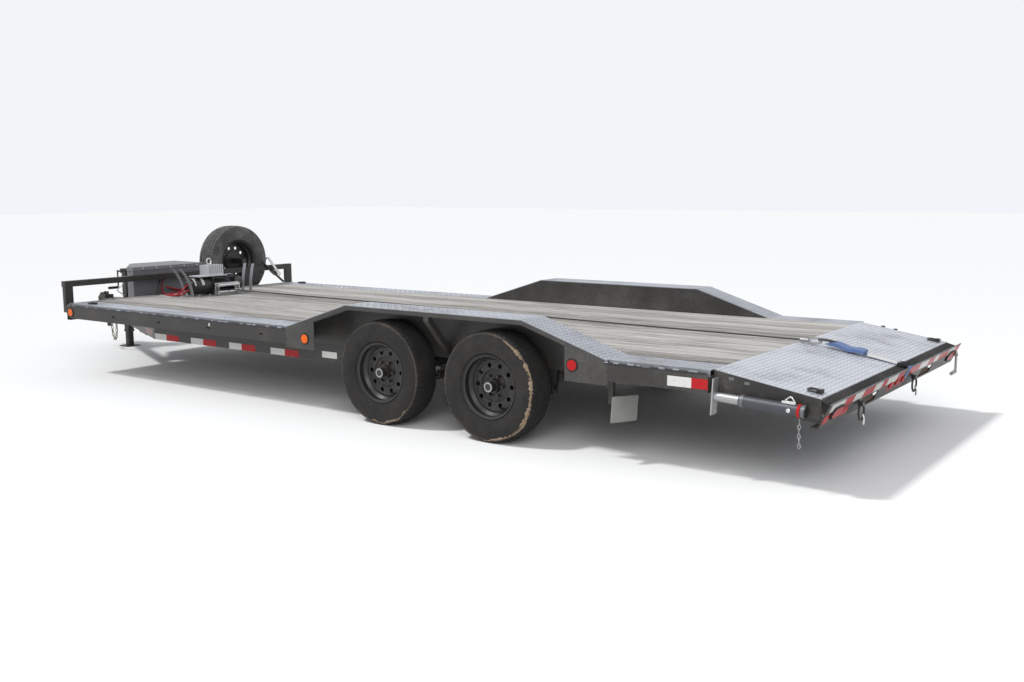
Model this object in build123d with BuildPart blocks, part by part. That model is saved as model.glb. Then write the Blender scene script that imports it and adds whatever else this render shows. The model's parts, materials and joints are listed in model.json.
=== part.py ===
from build123d import *

import os
from math import atan2, cos, degrees, radians, sin, tan

os.makedirs("parts", exist_ok=True)

# Overall sizes, millimetres. +X is forward, +Y is left, z = 0 is the ground.
overall_length = 8178.5
rail_to_rail_width = 2591
deck_height = 608
deck_length = 6705
fender_width = 241.5
between_fenders = rail_to_rail_width - 2 * fender_width

# Stations along the length, measured from the tail
strap_thickness = 3
strap_gap = 0.5
tail_x = -overall_length / 2 + strap_thickness + strap_gap
nose_x = overall_length / 2
axle_from_tail = 2629
axle_x = tail_x + axle_from_tail
front_x = tail_x + deck_length
dovetail_run = 673
dovetail_drop = 109
break_x = tail_x + dovetail_run
dovetail_slope = dovetail_drop / dovetail_run

# Frame sections
wall = 6
flange = 45
main_rail_height = 102
side_rail_height = 102
side_rail_drop = 22
joist_height = 76
joist_flange = 38
joist_wall = 5
joist_pitch = 406
plank_thickness = 38
plank_count = 11
plank_joint = 7.6
plank_pitch = between_fenders / plank_count
plank_width = plank_pitch - plank_joint
tread_wall = 5
half_bed = between_fenders / 2
half_width = rail_to_rail_width / 2
frame_top = deck_height - plank_thickness
main_rail_bottom = frame_top - main_rail_height
side_rail_top = deck_height - side_rail_drop
side_rail_bottom = side_rail_top - side_rail_height
edge_gap = 19
front_corner_cut = 46

# Wrap tongue under the main rails
under_rail_height = 127
under_rail_bottom = main_rail_bottom - under_rail_height
bend_from_front = 881
bend_x = front_x - bend_from_front
tongue_tip_half = 60
coupler_reach = 149.5
tongue_tip_x = nose_x - coupler_reach
tongue_angle = degrees(atan2(half_bed - tongue_tip_half, tongue_tip_x - bend_x))

# Drive-over fenders
fender_rise = 190
fender_flat_half = 731
fender_foot_half = 1328
fender_opening_half = 1041
fender_wall = 4
fender_lip = 28
fender_skirt_bottom = deck_height - 148
strut_depth = 40
strut_height = 58
fender_top = deck_height + fender_rise

# Running gear
axle_spacing = 914
tyre_radius = 354
tyre_width = 220
tyre_inset = 7.5
wheel_centre_y = half_width - tyre_inset - tyre_width / 2
hub_height = tyre_radius
rim_radius = 207
rim_half_width = 88
rim_wall = 4
bead_seat_radius = rim_radius - 13
disc_offset = 12
lug_circle = 139.7
lug_count = 6
vent_count = 10
vent_circle = 262
vent_radius = 15
axle_tube_radius = 38
spring_inset = 32
spring_y = half_bed - spring_inset
spring_width = 44
spring_length = 640
leaf_thickness = 7
leaf_count = 5
eye_radius = 16
bolt_radius = 7
spring_sag = 8
seat_thickness = 6
spring_top_z = hub_height - axle_tube_radius - seat_thickness
spring_eye_z = spring_top_z + spring_sag - leaf_thickness + eye_radius
equalizer_half = 104
equalizer_end_z = spring_eye_z + 66
equalizer_pivot_z = equalizer_end_z + 12
bolt_fit = 0.1
under_rail_gap = 83
under_rail_rear_x = axle_x + (axle_spacing + spring_length) / 2 + under_rail_gap

# Dovetail and bumper
dovetail_inset = 74.5
dovetail_half = half_width - dovetail_inset
cleat_run = 75
cleat_depth = 26
cleat_pitch = 28
bumper_height = 132
bumper_lean = 62
bumper_top = deck_height - dovetail_drop
bumper_bottom = bumper_top - bumper_height
ramp_inner_y = 434
ramp_outer_y = 700
ramp_slot_height = 55
ramp_slot_bottom = bumper_bottom + 14
ramp_slot_top = ramp_slot_bottom + ramp_slot_height
ramp_length = 1520
ramp_clearance = 5
pocket_lip = 20

# Pins of the rear stabiliser jacks
prop_inset = 36
prop_from_tail = 224
prop_drop = 164
prop_pin_radius = 15
prop_y = half_width - prop_inset
prop_pivot_x = tail_x + prop_from_tail
prop_pivot_z = deck_height - prop_drop

# Headache bar
post_width = 76
post_depth = 38
bar_height = 50
headache_rise = 190
headache_top = deck_height + headache_rise

# Wheels by name: which axle, which side
WHEELS = (  # name, axle sign, side sign
    ("front_left", 1, 1),
    ("front_right", 1, -1),
    ("rear_left", -1, 1),
    ("rear_right", -1, -1),
)
SIDES = (("left", 1), ("right", -1))


def save(part, name):
    """Label one finished piece and write it to its own file."""
    part.label = name
    export_step(part, f"parts/{name}.step")


def block(x0, x1, y0, y1, z0, z1, mode=Mode.ADD):
    """Add or cut a straight-sided block between the given corners."""
    with BuildSketch(Plane.XY.offset(z0)) as base:
        with Locations(((x0 + x1) / 2, (y0 + y1) / 2)):
            Rectangle(x1 - x0, y1 - y0)
    extrude(base.sketch, amount=z1 - z0, mode=mode)


def channel(height, width, thickness, side=1):
    """Draw a channel section: web on the local Y axis, flanges to one side."""
    with Locations((side * width / 2, 0)):
        Rectangle(width, height)
    with Locations((side * (width + thickness) / 2, 0)):
        Rectangle(width - thickness, height - 2 * thickness, mode=Mode.SUBTRACT)


def outline(points):
    """Fill a closed outline of straight lines in the current sketch."""
    with BuildLine() as edge:
        Polyline(*points, close=True)
    make_face(edge.edges())


def plate(points, y_outer, thickness, mode=Mode.ADD):
    """Add an upright plate: its outline is in X and Z, its outer face at y_outer."""
    with BuildSketch(Plane.XZ.offset(-y_outer)) as face:
        outline(points)
    extrude(face.sketch, amount=thickness, mode=mode)


def deck_z(x):
    """Height of the deck surface at a station, level and then down the dovetail."""
    return deck_height - max(0, break_x - x) * dovetail_slope


def tongue_half(x):
    """Distance from the centre line to the raked rail's outer face at a station."""
    return tongue_tip_half + (tongue_tip_x - x) * tan(radians(tongue_angle))


def bumper_x(z):
    """Station of the bumper's leaning rear face at a height."""
    return tail_x + (bumper_top - z) / bumper_height * bumper_lean


# Main rails: two channels under the planks, webs outward
with BuildPart() as main_rails:
    with BuildSketch(Plane.YZ.offset(break_x)):
        with Locations((half_bed, frame_top - main_rail_height / 2)):
            channel(main_rail_height, flange, wall, side=-1)
    extrude(amount=front_x - flange - break_x)
    mirror(about=Plane.XZ)
save(main_rails.part, "main_rails")

# Wrap tongue: straight under rails, then raked rails that meet at the coupler
tongue_mid_z = under_rail_bottom + under_rail_height / 2
mitre = Plane(
    origin=(bend_x, half_bed, tongue_mid_z),
    x_dir=(sin(radians(tongue_angle / 2)), cos(radians(tongue_angle / 2)), 0),
    z_dir=(cos(radians(tongue_angle / 2)), -sin(radians(tongue_angle / 2)), 0),
)
mitre_overrun = 60
tongue_start = Plane(
    origin=(
        bend_x - mitre_overrun * cos(radians(tongue_angle)),
        half_bed + mitre_overrun * sin(radians(tongue_angle)),
        tongue_mid_z,
    ),
    x_dir=(sin(radians(tongue_angle)), cos(radians(tongue_angle)), 0),
    z_dir=(cos(radians(tongue_angle)), -sin(radians(tongue_angle)), 0),
)
tongue_run = (tongue_tip_x - bend_x) / cos(radians(tongue_angle)) + 2 * mitre_overrun
with BuildPart() as tongue_rails:
    with BuildSketch(tongue_start):
        channel(under_rail_height, flange, wall, side=-1)
    extrude(amount=tongue_run)
    split(bisect_by=mitre, keep=Keep.TOP)
    split(bisect_by=Plane.YZ.offset(tongue_tip_x), keep=Keep.BOTTOM)
    with BuildPart(mode=Mode.PRIVATE) as under_rail:
        with BuildSketch(Plane.YZ.offset(under_rail_rear_x)):
            with Locations((half_bed, tongue_mid_z)):
                channel(under_rail_height, flange, wall, side=-1)
        extrude(amount=bend_x + mitre_overrun - under_rail_rear_x)
        split(bisect_by=mitre, keep=Keep.BOTTOM)
    add(under_rail.part)
    mirror(about=Plane.XZ)
save(tongue_rails.part, "tongue_rails")

# Crossmembers: joists between the main rails, coped round their top flanges,
# and outriggers out to the side rails ahead of and behind the fenders
joist_count = int((front_x - break_x - joist_pitch / 2) // joist_pitch) + 1
joist_stations = [front_x - joist_pitch * (i + 0.6) for i in range(joist_count)]
joist_mid_z = frame_top - joist_height / 2
fender_front_x = axle_x + fender_foot_half
fender_rear_x = axle_x - fender_foot_half
outrigger_stations = [
    x for x in joist_stations if x > fender_front_x or x + joist_flange < fender_rear_x
]
outrigger_stations += [fender_front_x + joist_wall, break_x + joist_wall]


def joist_sections(stations):
    """Draw one joist channel at each station, open to the front."""
    with Locations(*[(x + joist_flange / 2, joist_mid_z) for x in stations]):
        Rectangle(joist_flange, joist_height)
    with Locations(*[(x + (joist_flange + joist_wall) / 2, joist_mid_z) for x in stations]):
        Rectangle(joist_flange - joist_wall, joist_height - 2 * joist_wall, mode=Mode.SUBTRACT)


with BuildPart() as crossmembers:
    with BuildSketch(Plane.XZ.offset(-(half_bed - wall))):
        joist_sections(joist_stations)
    extrude(amount=2 * (half_bed - wall))
    for side in (1, -1):
        cope = sorted((side * (half_bed - flange), side * half_bed))
        block(break_x, front_x, cope[0], cope[1], frame_top - wall, frame_top, mode=Mode.SUBTRACT)
    with BuildSketch(Plane.XZ.offset(-(half_width - wall))):
        joist_sections(outrigger_stations)
    extrude(amount=half_width - wall - half_bed)
    mirror(about=Plane.XZ)
save(crossmembers.part, "crossmembers")

# Side rails: upright webs with drain slots, the front lower corner cut off
slot_first = 683
slot_pitch = 602
slot_count = 4
slot_stations = [front_x - slot_first - i * slot_pitch for i in range(slot_count)]
slot_length = 42
slot_height = 10
lamp_hole_radius = 32
front_lamp_x = front_x - 66
mid_lamp_x = axle_x + fender_opening_half + 92
rear_lamp_x = axle_x - fender_opening_half - 53
lamp_z = side_rail_bottom + side_rail_height / 2
rear_lamp_z = lamp_z + 22
with BuildPart() as side_rails:
    plate(
        [
            (fender_front_x, side_rail_bottom),
            (front_x - front_corner_cut, side_rail_bottom),
            (front_x, side_rail_bottom + front_corner_cut),
            (front_x, side_rail_top),
            (fender_front_x, side_rail_top),
        ],
        half_width,
        wall,
    )
    plate(
        [
            (break_x, side_rail_bottom),
            (fender_rear_x, side_rail_bottom),
            (fender_rear_x, side_rail_top),
            (break_x, side_rail_top),
        ],
        half_width,
        wall,
    )
    foot_edge = half_width - flange
    block(fender_front_x, front_x - front_corner_cut, foot_edge, half_width, side_rail_bottom, side_rail_bottom + wall)
    block(break_x, fender_rear_x, foot_edge, half_width, side_rail_bottom, side_rail_bottom + wall)
    with BuildSketch(Plane.XZ.offset(-half_width)):
        with Locations(*[(x, lamp_z) for x in slot_stations]):
            SlotOverall(slot_length, slot_height)
        with Locations((front_lamp_x, lamp_z)):
            Circle(lamp_hole_radius)
    extrude(amount=wall, mode=Mode.SUBTRACT)
    mirror(about=Plane.XZ)
save(side_rails.part, "side_rails")

# Front header: a channel across the front end of the frame
with BuildPart() as front_header:
    with BuildSketch(Plane.XZ.offset(-(half_width - wall))):
        with Locations((front_x, frame_top - main_rail_height / 2)):
            channel(main_rail_height, flange, wall, side=-1)
    extrude(amount=2 * (half_width - wall))
save(front_header.part, "front_header")

# Deck planks laid lengthwise with open joints
with BuildPart() as deck_planks:
    with BuildSketch(Plane.XY.offset(frame_top)):
        with Locations(((front_x + break_x) / 2, 0)):
            with GridLocations(1, plank_pitch, 1, plank_count):
                Rectangle(front_x - break_x, plank_width)
    extrude(amount=plank_thickness)
save(deck_planks.part, "deck_planks")

# Folded tread-plate strips outboard of the planks
strip_inner_y = half_bed + fender_wall
strip_outer_y = half_width - wall - edge_gap
with BuildPart() as deck_edge_plates:
    for x0, x1 in ((fender_front_x, front_x), (break_x, fender_rear_x)):
        with BuildSketch(Plane.YZ.offset(x0)):
            with Locations(((strip_inner_y + strip_outer_y) / 2, deck_height - plank_thickness / 2)):
                Rectangle(strip_outer_y - strip_inner_y, plank_thickness)
                with Locations((0, -tread_wall / 2)):
                    Rectangle(
                        strip_outer_y - strip_inner_y - 2 * tread_wall,
                        plank_thickness - tread_wall,
                        mode=Mode.SUBTRACT,
                    )
        extrude(amount=x1 - x0)
    mirror(about=Plane.XZ)
save(deck_edge_plates.part, "deck_edge_plates")

# Drive-over fenders: folded tops, inner walls and outer skirts
fender_crown = [
    (axle_x - fender_foot_half, deck_height),
    (axle_x - fender_flat_half, fender_top),
    (axle_x + fender_flat_half, fender_top),
    (axle_x + fender_foot_half, deck_height),
]
fender_under = [(x, z - tread_wall) for x, z in fender_crown]
with BuildPart() as fender_tops:
    plate(fender_crown + fender_under[::-1], half_width, half_width - half_bed)
    mirror(about=Plane.XZ)
save(fender_tops.part, "fender_tops")

with BuildPart() as fender_walls:
    plate(
        fender_under + [(fender_front_x, main_rail_bottom), (fender_rear_x, main_rail_bottom)],
        half_bed + fender_wall,
        fender_wall,
    )
    with BuildSketch(Plane.YZ.offset(axle_x)):
        outline(
            [
                (half_bed + 1, main_rail_bottom + 4),
                (half_bed + 1, main_rail_bottom + 58),
                (half_width - fender_wall, fender_top - tread_wall),
                (half_width - fender_wall, fender_top - tread_wall - strut_height),
            ]
        )
    extrude(amount=strut_depth)
    mirror(about=Plane.XZ)
save(fender_walls.part, "fender_walls")

lip_foot = fender_under[0][1] + (fender_foot_half - fender_opening_half) * fender_rise / (
    fender_foot_half - fender_flat_half
)
with BuildPart() as fender_skirts:
    plate(
        fender_under
        + [
            (fender_front_x, fender_skirt_bottom),
            (axle_x + fender_opening_half, fender_skirt_bottom),
            (axle_x + fender_opening_half, lip_foot - fender_lip),
            (axle_x + fender_flat_half, fender_under[1][1] - fender_lip),
            (axle_x - fender_flat_half, fender_under[1][1] - fender_lip),
            (axle_x - fender_opening_half, lip_foot - fender_lip),
            (axle_x - fender_opening_half, fender_skirt_bottom),
            (fender_rear_x, fender_skirt_bottom),
        ],
        half_width,
        fender_wall,
    )
    with BuildSketch(Plane.XZ.offset(-half_width)):
        with Locations((mid_lamp_x, lamp_z), (rear_lamp_x, rear_lamp_z)):
            Circle(lamp_hole_radius)
    extrude(amount=fender_wall, mode=Mode.SUBTRACT)
    mirror(about=Plane.XZ)
save(fender_skirts.part, "fender_skirts")

# Dovetail: sloping tread plate with a cleat comb before the bumper
plate_end_x = tail_x + cleat_run
comb_front_z = deck_z(plate_end_x) - tread_wall
comb_rear_z = bumper_top - cleat_depth
with BuildPart() as dovetail_plate:
    plate(
        [
            (break_x, deck_height),
            (plate_end_x, deck_z(plate_end_x)),
            (plate_end_x, deck_z(plate_end_x) - tread_wall),
            (break_x, deck_height - tread_wall),
        ],
        dovetail_half,
        2 * dovetail_half,
    )
save(dovetail_plate.part, "dovetail_plate")

# Dovetail beams: tapered upright plates, the inner ones reach forward as ramp pockets
beam_rear_low_x = bumper_x(bumper_bottom) + wall + 4
pocket_reach = 706
pocket_front_x = break_x + pocket_reach
pocket_foot = ramp_slot_bottom - wall
beam_lines = (dovetail_half, half_bed - flange)
with BuildPart() as dovetail_beams:
    for y_outer in beam_lines:
        plate(
            [
                (break_x, main_rail_bottom),
                (break_x, deck_height - tread_wall),
                (plate_end_x, comb_front_z),
                (plate_end_x, comb_front_z - wall),
                (beam_rear_low_x, bumper_bottom + wall),
            ],
            y_outer,
            wall,
        )
    for y_outer in (ramp_outer_y + wall, ramp_inner_y):
        plate(
            [
                (pocket_front_x, pocket_foot),
                (pocket_front_x, joist_mid_z - joist_height / 2),
                (break_x, joist_mid_z - joist_height / 2),
                (break_x, deck_height - tread_wall),
                (plate_end_x, comb_front_z),
                (plate_end_x, comb_front_z - wall),
                (bumper_x(pocket_foot) + wall, pocket_foot),
            ],
            y_outer,
            wall,
        )
    lip_rear_x = bumper_x(pocket_foot) + wall
    block(pocket_front_x, lip_rear_x, ramp_inner_y, ramp_inner_y + pocket_lip, pocket_foot, ramp_slot_bottom)
    block(pocket_front_x, lip_rear_x, ramp_outer_y - pocket_lip, ramp_outer_y, pocket_foot, ramp_slot_bottom)
    with BuildSketch(Plane.XZ.offset(-(prop_y - 1))):
        with Locations((prop_pivot_x, prop_pivot_z)):
            Circle(prop_pin_radius)
    extrude(amount=prop_y - 1 - dovetail_half + wall)
    mirror(about=Plane.XZ)
save(dovetail_beams.part, "dovetail_beams")

# Rear bumper: a leaning plate with two ramp slots and a bottom return
with BuildPart() as rear_bumper:
    plate(
        [
            (tail_x, bumper_top),
            (tail_x + bumper_lean, bumper_bottom),
            (tail_x + bumper_lean + flange, bumper_bottom),
            (tail_x + bumper_lean + flange, bumper_bottom + wall),
            (bumper_x(bumper_bottom + wall) + wall, bumper_bottom + wall),
            (tail_x + wall, bumper_top),
        ],
        half_width,
        rail_to_rail_width,
    )
    for side in (1, -1):
        slot_y = sorted((side * ramp_inner_y, side * ramp_outer_y))
        block(
            tail_x, tail_x + bumper_lean + 2 * flange,
            slot_y[0], slot_y[1],
            ramp_slot_bottom, ramp_slot_top,
            mode=Mode.SUBTRACT,
        )
save(rear_bumper.part, "rear_bumper")

# Cleat comb: a recessed strip with upright bars between the dovetail plate and the bumper
comb_bar = 8
comb_count = int(2 * (dovetail_half - comb_bar) // cleat_pitch) + 1
comb_lines = [(i - (comb_count - 1) / 2) * cleat_pitch for i in range(comb_count)]
with BuildPart() as cleat_comb:
    plate(
        [
            (plate_end_x, comb_front_z),
            (plate_end_x, comb_front_z - wall),
            (bumper_x(comb_rear_z - wall) + wall, comb_rear_z - wall),
            (bumper_x(comb_rear_z) + wall, comb_rear_z),
        ],
        dovetail_half,
        2 * dovetail_half,
    )
    with BuildSketch(*[Plane.XZ.offset(-y - comb_bar / 2) for y in comb_lines]):
        outline(
            [
                (plate_end_x, comb_front_z - 1),
                (plate_end_x, deck_z(plate_end_x) - 2),
                (bumper_x(bumper_top - 8) + wall, bumper_top - 8),
                (bumper_x(comb_rear_z - 1) + wall, comb_rear_z - 1),
            ]
        )
    extrude(amount=comb_bar)
save(cleat_comb.part, "cleat_comb")

# Headache bar on two posts at the front corners, with two small equipment boxes under it
# and a lever binder that leans on its far end
bar_boxes = (  # near side, far side, height below the bar
    (-677, -768, 148),
    (-774, -869, 108),
)
bar_box_depth = 38
binder_radius = 11
binder_foot = (-1166, deck_height + 12)
binder_head = (-894, headache_top + 39)
binder_length = ((binder_head[0] - binder_foot[0]) ** 2 + (binder_head[1] - binder_foot[1]) ** 2) ** 0.5
binder_run = Plane(
    origin=(front_x - binder_radius + 1, binder_foot[0], binder_foot[1]),
    x_dir=(1, 0, 0),
    z_dir=(0, binder_head[0] - binder_foot[0], binder_head[1] - binder_foot[1]),
)
with BuildPart() as headache_bar:
    for side in (1, -1):
        post_y = sorted((side * (half_width - post_width), side * half_width))
        post_foot = side_rail_bottom + front_corner_cut
        block(front_x, front_x + post_depth, post_y[0], post_y[1], post_foot, headache_top - bar_height)
    block(front_x, front_x + bar_height, -half_width, half_width, headache_top - bar_height, headache_top)
    bar_foot = headache_top - bar_height
    for near, far, drop in bar_boxes:
        block(front_x + 6, front_x + 6 + bar_box_depth, far, near, bar_foot - drop, bar_foot)
    with BuildSketch(binder_run):
        Circle(binder_radius)
    extrude(amount=binder_length)
    with BuildSketch(binder_run.offset(0.38 * binder_length)):
        with Locations((-6, 0)):
            Rectangle(2 * binder_radius + 12, 3 * binder_radius)
    extrude(amount=80)
save(headache_bar.part, "headache_bar")

# Coupler: a splayed plate over the rail tips, a box neck and a domed ball socket
socket_radius = 29.8
socket_depth = 40
coupler_radius = 58
coupler_x = nose_x - coupler_radius
neck_half = 50
neck_overlap = 40
splay_length = 190
coupler_floor = under_rail_bottom + 96
dome_height = 46
coupler_top = coupler_floor + 84
splay_x = tongue_tip_x - splay_length
latch_half = 8
with BuildPart() as coupler:
    with BuildSketch(Plane.XY.offset(main_rail_bottom)):
        outline(
            [
                (splay_x, tongue_half(splay_x)),
                (tongue_tip_x + neck_overlap, neck_half),
                (tongue_tip_x + neck_overlap, -neck_half),
                (splay_x, -tongue_half(splay_x)),
            ]
        )
    extrude(amount=8)
    block(tongue_tip_x + 1, coupler_x - 20, -neck_half, neck_half, coupler_floor, coupler_top - 14)
    block(
        tongue_tip_x + neck_overlap - 20, coupler_x - 10,
        -latch_half, latch_half,
        coupler_top - 15, coupler_top + 16,
    )
    with BuildSketch(Plane.XY.offset(coupler_floor)):
        with Locations((coupler_x, 0)):
            Circle(coupler_radius)
    extrude(amount=dome_height)
    with Locations((coupler_x, 0, coupler_floor + dome_height)):
        Cone(coupler_radius, 34, coupler_top - coupler_floor - dome_height, align=(Align.CENTER, Align.CENTER, Align.MIN))
    with BuildSketch(Plane.XY.offset(coupler_floor)):
        with Locations((coupler_x, 0)):
            Circle(socket_radius)
    extrude(amount=socket_depth, mode=Mode.SUBTRACT)
    with Locations((coupler_x, 0, coupler_floor + socket_depth)):
        Cone(socket_radius - 1, 10, 20, align=(Align.CENTER, Align.CENTER, Align.MIN), mode=Mode.SUBTRACT)
save(coupler.part, "coupler")

# Drop-leg jack between the tongue rails
jack_from_nose = 461
jack_x = nose_x - jack_from_nose
jack_plate_half = tongue_half(jack_x) + 14
jack_tube = 64
jack_wall = 4
jack_leg_size = jack_tube - 2 * jack_wall - 1
jack_tube_bottom = 150
jack_top = deck_height + 134
jack_foot_size = 150
crank_shaft_z = jack_top + 23
crank_arm_y = 96
crank_throw = 170
with BuildPart() as jack_housing:
    with BuildSketch(Plane.XY.offset(jack_tube_bottom)):
        with Locations((jack_x, 0)):
            Rectangle(jack_tube, jack_tube)
            Rectangle(jack_tube - 2 * jack_wall, jack_tube - 2 * jack_wall, mode=Mode.SUBTRACT)
    extrude(amount=jack_top - jack_tube_bottom)
    block(jack_x - 42, jack_x + 42, -42, 42, jack_top, jack_top + 46)
    block(jack_x - 90, jack_x + 90, -jack_plate_half, jack_plate_half, main_rail_bottom, main_rail_bottom + 8)
    block(
        jack_x - jack_tube / 2 + jack_wall, jack_x + jack_tube / 2 - jack_wall,
        -jack_tube / 2 + jack_wall, jack_tube / 2 - jack_wall,
        main_rail_bottom - 1, main_rail_bottom + 9,
        mode=Mode.SUBTRACT,
    )
    with BuildSketch(Plane.XZ.offset(-crank_arm_y)):
        with Locations((jack_x, crank_shaft_z)):
            Circle(8)
    extrude(amount=crank_arm_y - 41)
    block(
        jack_x - 9, jack_x + 9,
        crank_arm_y - 1, crank_arm_y + 5,
        crank_shaft_z - crank_throw, crank_shaft_z + 12,
    )
    with BuildSketch(Plane.XZ.offset(-crank_arm_y - 114)):
        with Locations((jack_x, crank_shaft_z - crank_throw + 10)):
            Circle(11)
    extrude(amount=110)
save(jack_housing.part, "jack_housing")

jack_leg_top = jack_top - 182
with BuildPart() as jack_leg:
    block(
        jack_x - jack_leg_size / 2, jack_x + jack_leg_size / 2,
        -jack_leg_size / 2, jack_leg_size / 2,
        8, jack_leg_top,
    )
    block(jack_x - jack_foot_size / 2, jack_x + jack_foot_size / 2, -jack_foot_size / 2, jack_foot_size / 2, 0, 8)
save(jack_leg.part, "jack_leg")

# Toolbox on the tongue beside the spare wheel, its lid hinged along the rear edge
box_rear_x = front_x + 96
box_depth = 470
box_near_y = 552
box_far_y = -256
box_front_y = 250
box_shoulder = 90
box_bottom = main_rail_bottom
box_top = deck_height + 228
box_wall = 3
lid_height = 30
lid_overhang = 8


def toolbox_outline(grow):
    """Outline of the wedge-sided toolbox, grown or shrunk all round."""
    return [
        (box_rear_x - grow, box_far_y - grow),
        (box_rear_x + box_depth + grow, box_far_y - grow),
        (box_rear_x + box_depth + grow, box_front_y + grow),
        (box_rear_x + box_shoulder, box_near_y + grow),
        (box_rear_x - grow, box_near_y + grow),
    ]


with BuildPart() as toolbox:
    with BuildSketch(Plane.XY.offset(box_bottom)):
        outline(toolbox_outline(0))
    extrude(amount=box_top - box_bottom)
    with BuildSketch(Plane.XY.offset(box_bottom + box_wall)):
        outline(toolbox_outline(-box_wall))
    extrude(amount=box_top - box_bottom, mode=Mode.SUBTRACT)
save(toolbox.part, "toolbox")

with BuildPart() as toolbox_lid:
    with BuildSketch(Plane.XY.offset(box_top + 1)):
        outline(toolbox_outline(lid_overhang))
    extrude(amount=lid_height, taper=12)
    with BuildSketch(Plane.XY.offset(box_top + 1)):
        outline(toolbox_outline(-1))
    extrude(amount=lid_height - 8, taper=14, mode=Mode.SUBTRACT)
save(toolbox_lid.part, "toolbox_lid")


def tyre_section():
    """Half-section of the tyre: local x is the radius, local y runs across the tread."""
    half = tyre_width / 2
    tread_half = half - 18
    bead = bead_seat_radius
    bead_half = rim_half_width - 15
    rim_cover = rim_half_width - 6
    bead_inner = rim_half_width - 30
    with BuildLine() as edge:
        Polyline(
            (bead, bead_half),
            (rim_radius + 1, rim_cover),
            (rim_radius + 6, half - 16),
            (tyre_radius - 78, half),
            (tyre_radius - 22, tread_half + 8),
            (tyre_radius - 5, tread_half - 6),
            (tyre_radius, tread_half - 34),
            (tyre_radius, -tread_half + 34),
            (tyre_radius - 5, -tread_half + 6),
            (tyre_radius - 22, -tread_half - 8),
            (tyre_radius - 78, -half),
            (rim_radius + 6, -half + 16),
            (rim_radius + 1, -rim_cover),
            (bead, -bead_half),
            (bead, -bead_inner),
            (bead + 26, -half + 26),
            (tyre_radius - 40, -tread_half + 8),
            (tyre_radius - 18, 0),
            (tyre_radius - 40, tread_half - 8),
            (bead + 26, half - 26),
            (bead, bead_inner),
            close=True,
        )
    make_face(edge.edges())


def rim_section():
    """Half-section of the rim barrel, local y towards the outside of the vehicle."""
    half = rim_half_width
    seat = bead_seat_radius
    well = seat - 18
    well_out = half - 48
    well_in = -half + 48
    with BuildLine() as edge:
        Polyline(
            (rim_radius, half),
            (seat - rim_wall, half - 9),
            (seat - rim_wall, well_out),
            (well - rim_wall, well_out - 14),
            (well - rim_wall, well_in + 22),
            (seat - rim_wall, well_in),
            (seat - rim_wall, -half + 9),
            (rim_radius, -half),
            (rim_radius, -half + rim_wall),
            (seat, -half + 13),
            (seat, well_in + 2),
            (well, well_in + 24),
            (well, well_out - 16),
            (seat, well_out - 2),
            (seat, half - 13),
            (rim_radius, half - rim_wall),
            close=True,
        )
    make_face(edge.edges())


# Wheel disc, brake drum and hub: radii and how far each reaches from the wheel's middle plane
disc_radius = bead_seat_radius - 19
disc_thickness = 6
disc_face = disc_offset + disc_thickness
drum_radius = 150
drum_bore = 30
drum_back = 92
drum_front = 22
drum_nose_radius = 96
hub_radius = 34
hub_flare = 47
hub_length = 72
hub_flare_length = 26
lug_radius = 11
lug_length = 24


def wheel_plane(side, x):
    """Plane through a wheel's centre, local x up the radius and local y outward."""
    return Plane(origin=(x, side * wheel_centre_y, hub_height), x_dir=(0, 0, 1), z_dir=(side, 0, 0))


for wheel_name, axle_sign, side in WHEELS:
    wheel_x = axle_x + axle_sign * axle_spacing / 2
    centre = (wheel_x, side * wheel_centre_y, hub_height)
    spin = Axis(centre, (0, 1, 0))
    with BuildPart() as tyre:
        with BuildSketch(wheel_plane(side, wheel_x)):
            tyre_section()
        revolve(axis=spin, revolution_arc=360)
    save(tyre.part, f"tyre_{wheel_name}")

    outward = Plane(origin=centre, x_dir=(1, 0, 0), z_dir=(0, side, 0))
    with BuildPart() as wheel:
        with BuildSketch(wheel_plane(side, wheel_x)):
            rim_section()
        revolve(axis=spin, revolution_arc=360)
        with BuildSketch(outward.offset(disc_offset)):
            Circle(disc_radius)
            with PolarLocations(vent_circle / 2, vent_count):
                Circle(vent_radius, mode=Mode.SUBTRACT)
        extrude(amount=disc_thickness)
        with BuildSketch(outward.offset(-drum_back)):
            Circle(drum_radius)
            Circle(drum_bore, mode=Mode.SUBTRACT)
        extrude(amount=drum_back - drum_front)
        with BuildSketch(outward.offset(-drum_front)):
            Circle(drum_nose_radius)
        extrude(amount=drum_front + disc_offset)
        with BuildSketch(outward.offset(disc_face)):
            Circle(hub_flare)
        extrude(amount=hub_flare_length, taper=8)
        with BuildSketch(outward.offset(disc_face)):
            Circle(hub_radius)
        extrude(amount=hub_length)
        with BuildSketch(outward.offset(disc_face)):
            with PolarLocations(lug_circle / 2, lug_count):
                RegularPolygon(lug_radius, 6)
        extrude(amount=lug_length)
    save(wheel.part, f"wheel_{wheel_name}")

# Axles: straight tubes over the springs, spindles in the drums, brake plates behind them
tube_end_y = wheel_centre_y - drum_back - 12
backing_radius = drum_radius
backing_thickness = 7
spindle_radius = 22
spindle_end_y = wheel_centre_y - drum_front - 6
axle_stations = [axle_x + axle_spacing / 2, axle_x - axle_spacing / 2]
spring_half = spring_length / 2
spring_bend = (spring_half**2 + spring_sag**2) / (2 * spring_sag)


def leaf_rise(x):
    """Rise of the curved leaves above their middle, at a distance from it."""
    return spring_bend - (spring_bend**2 - x**2) ** 0.5


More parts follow.
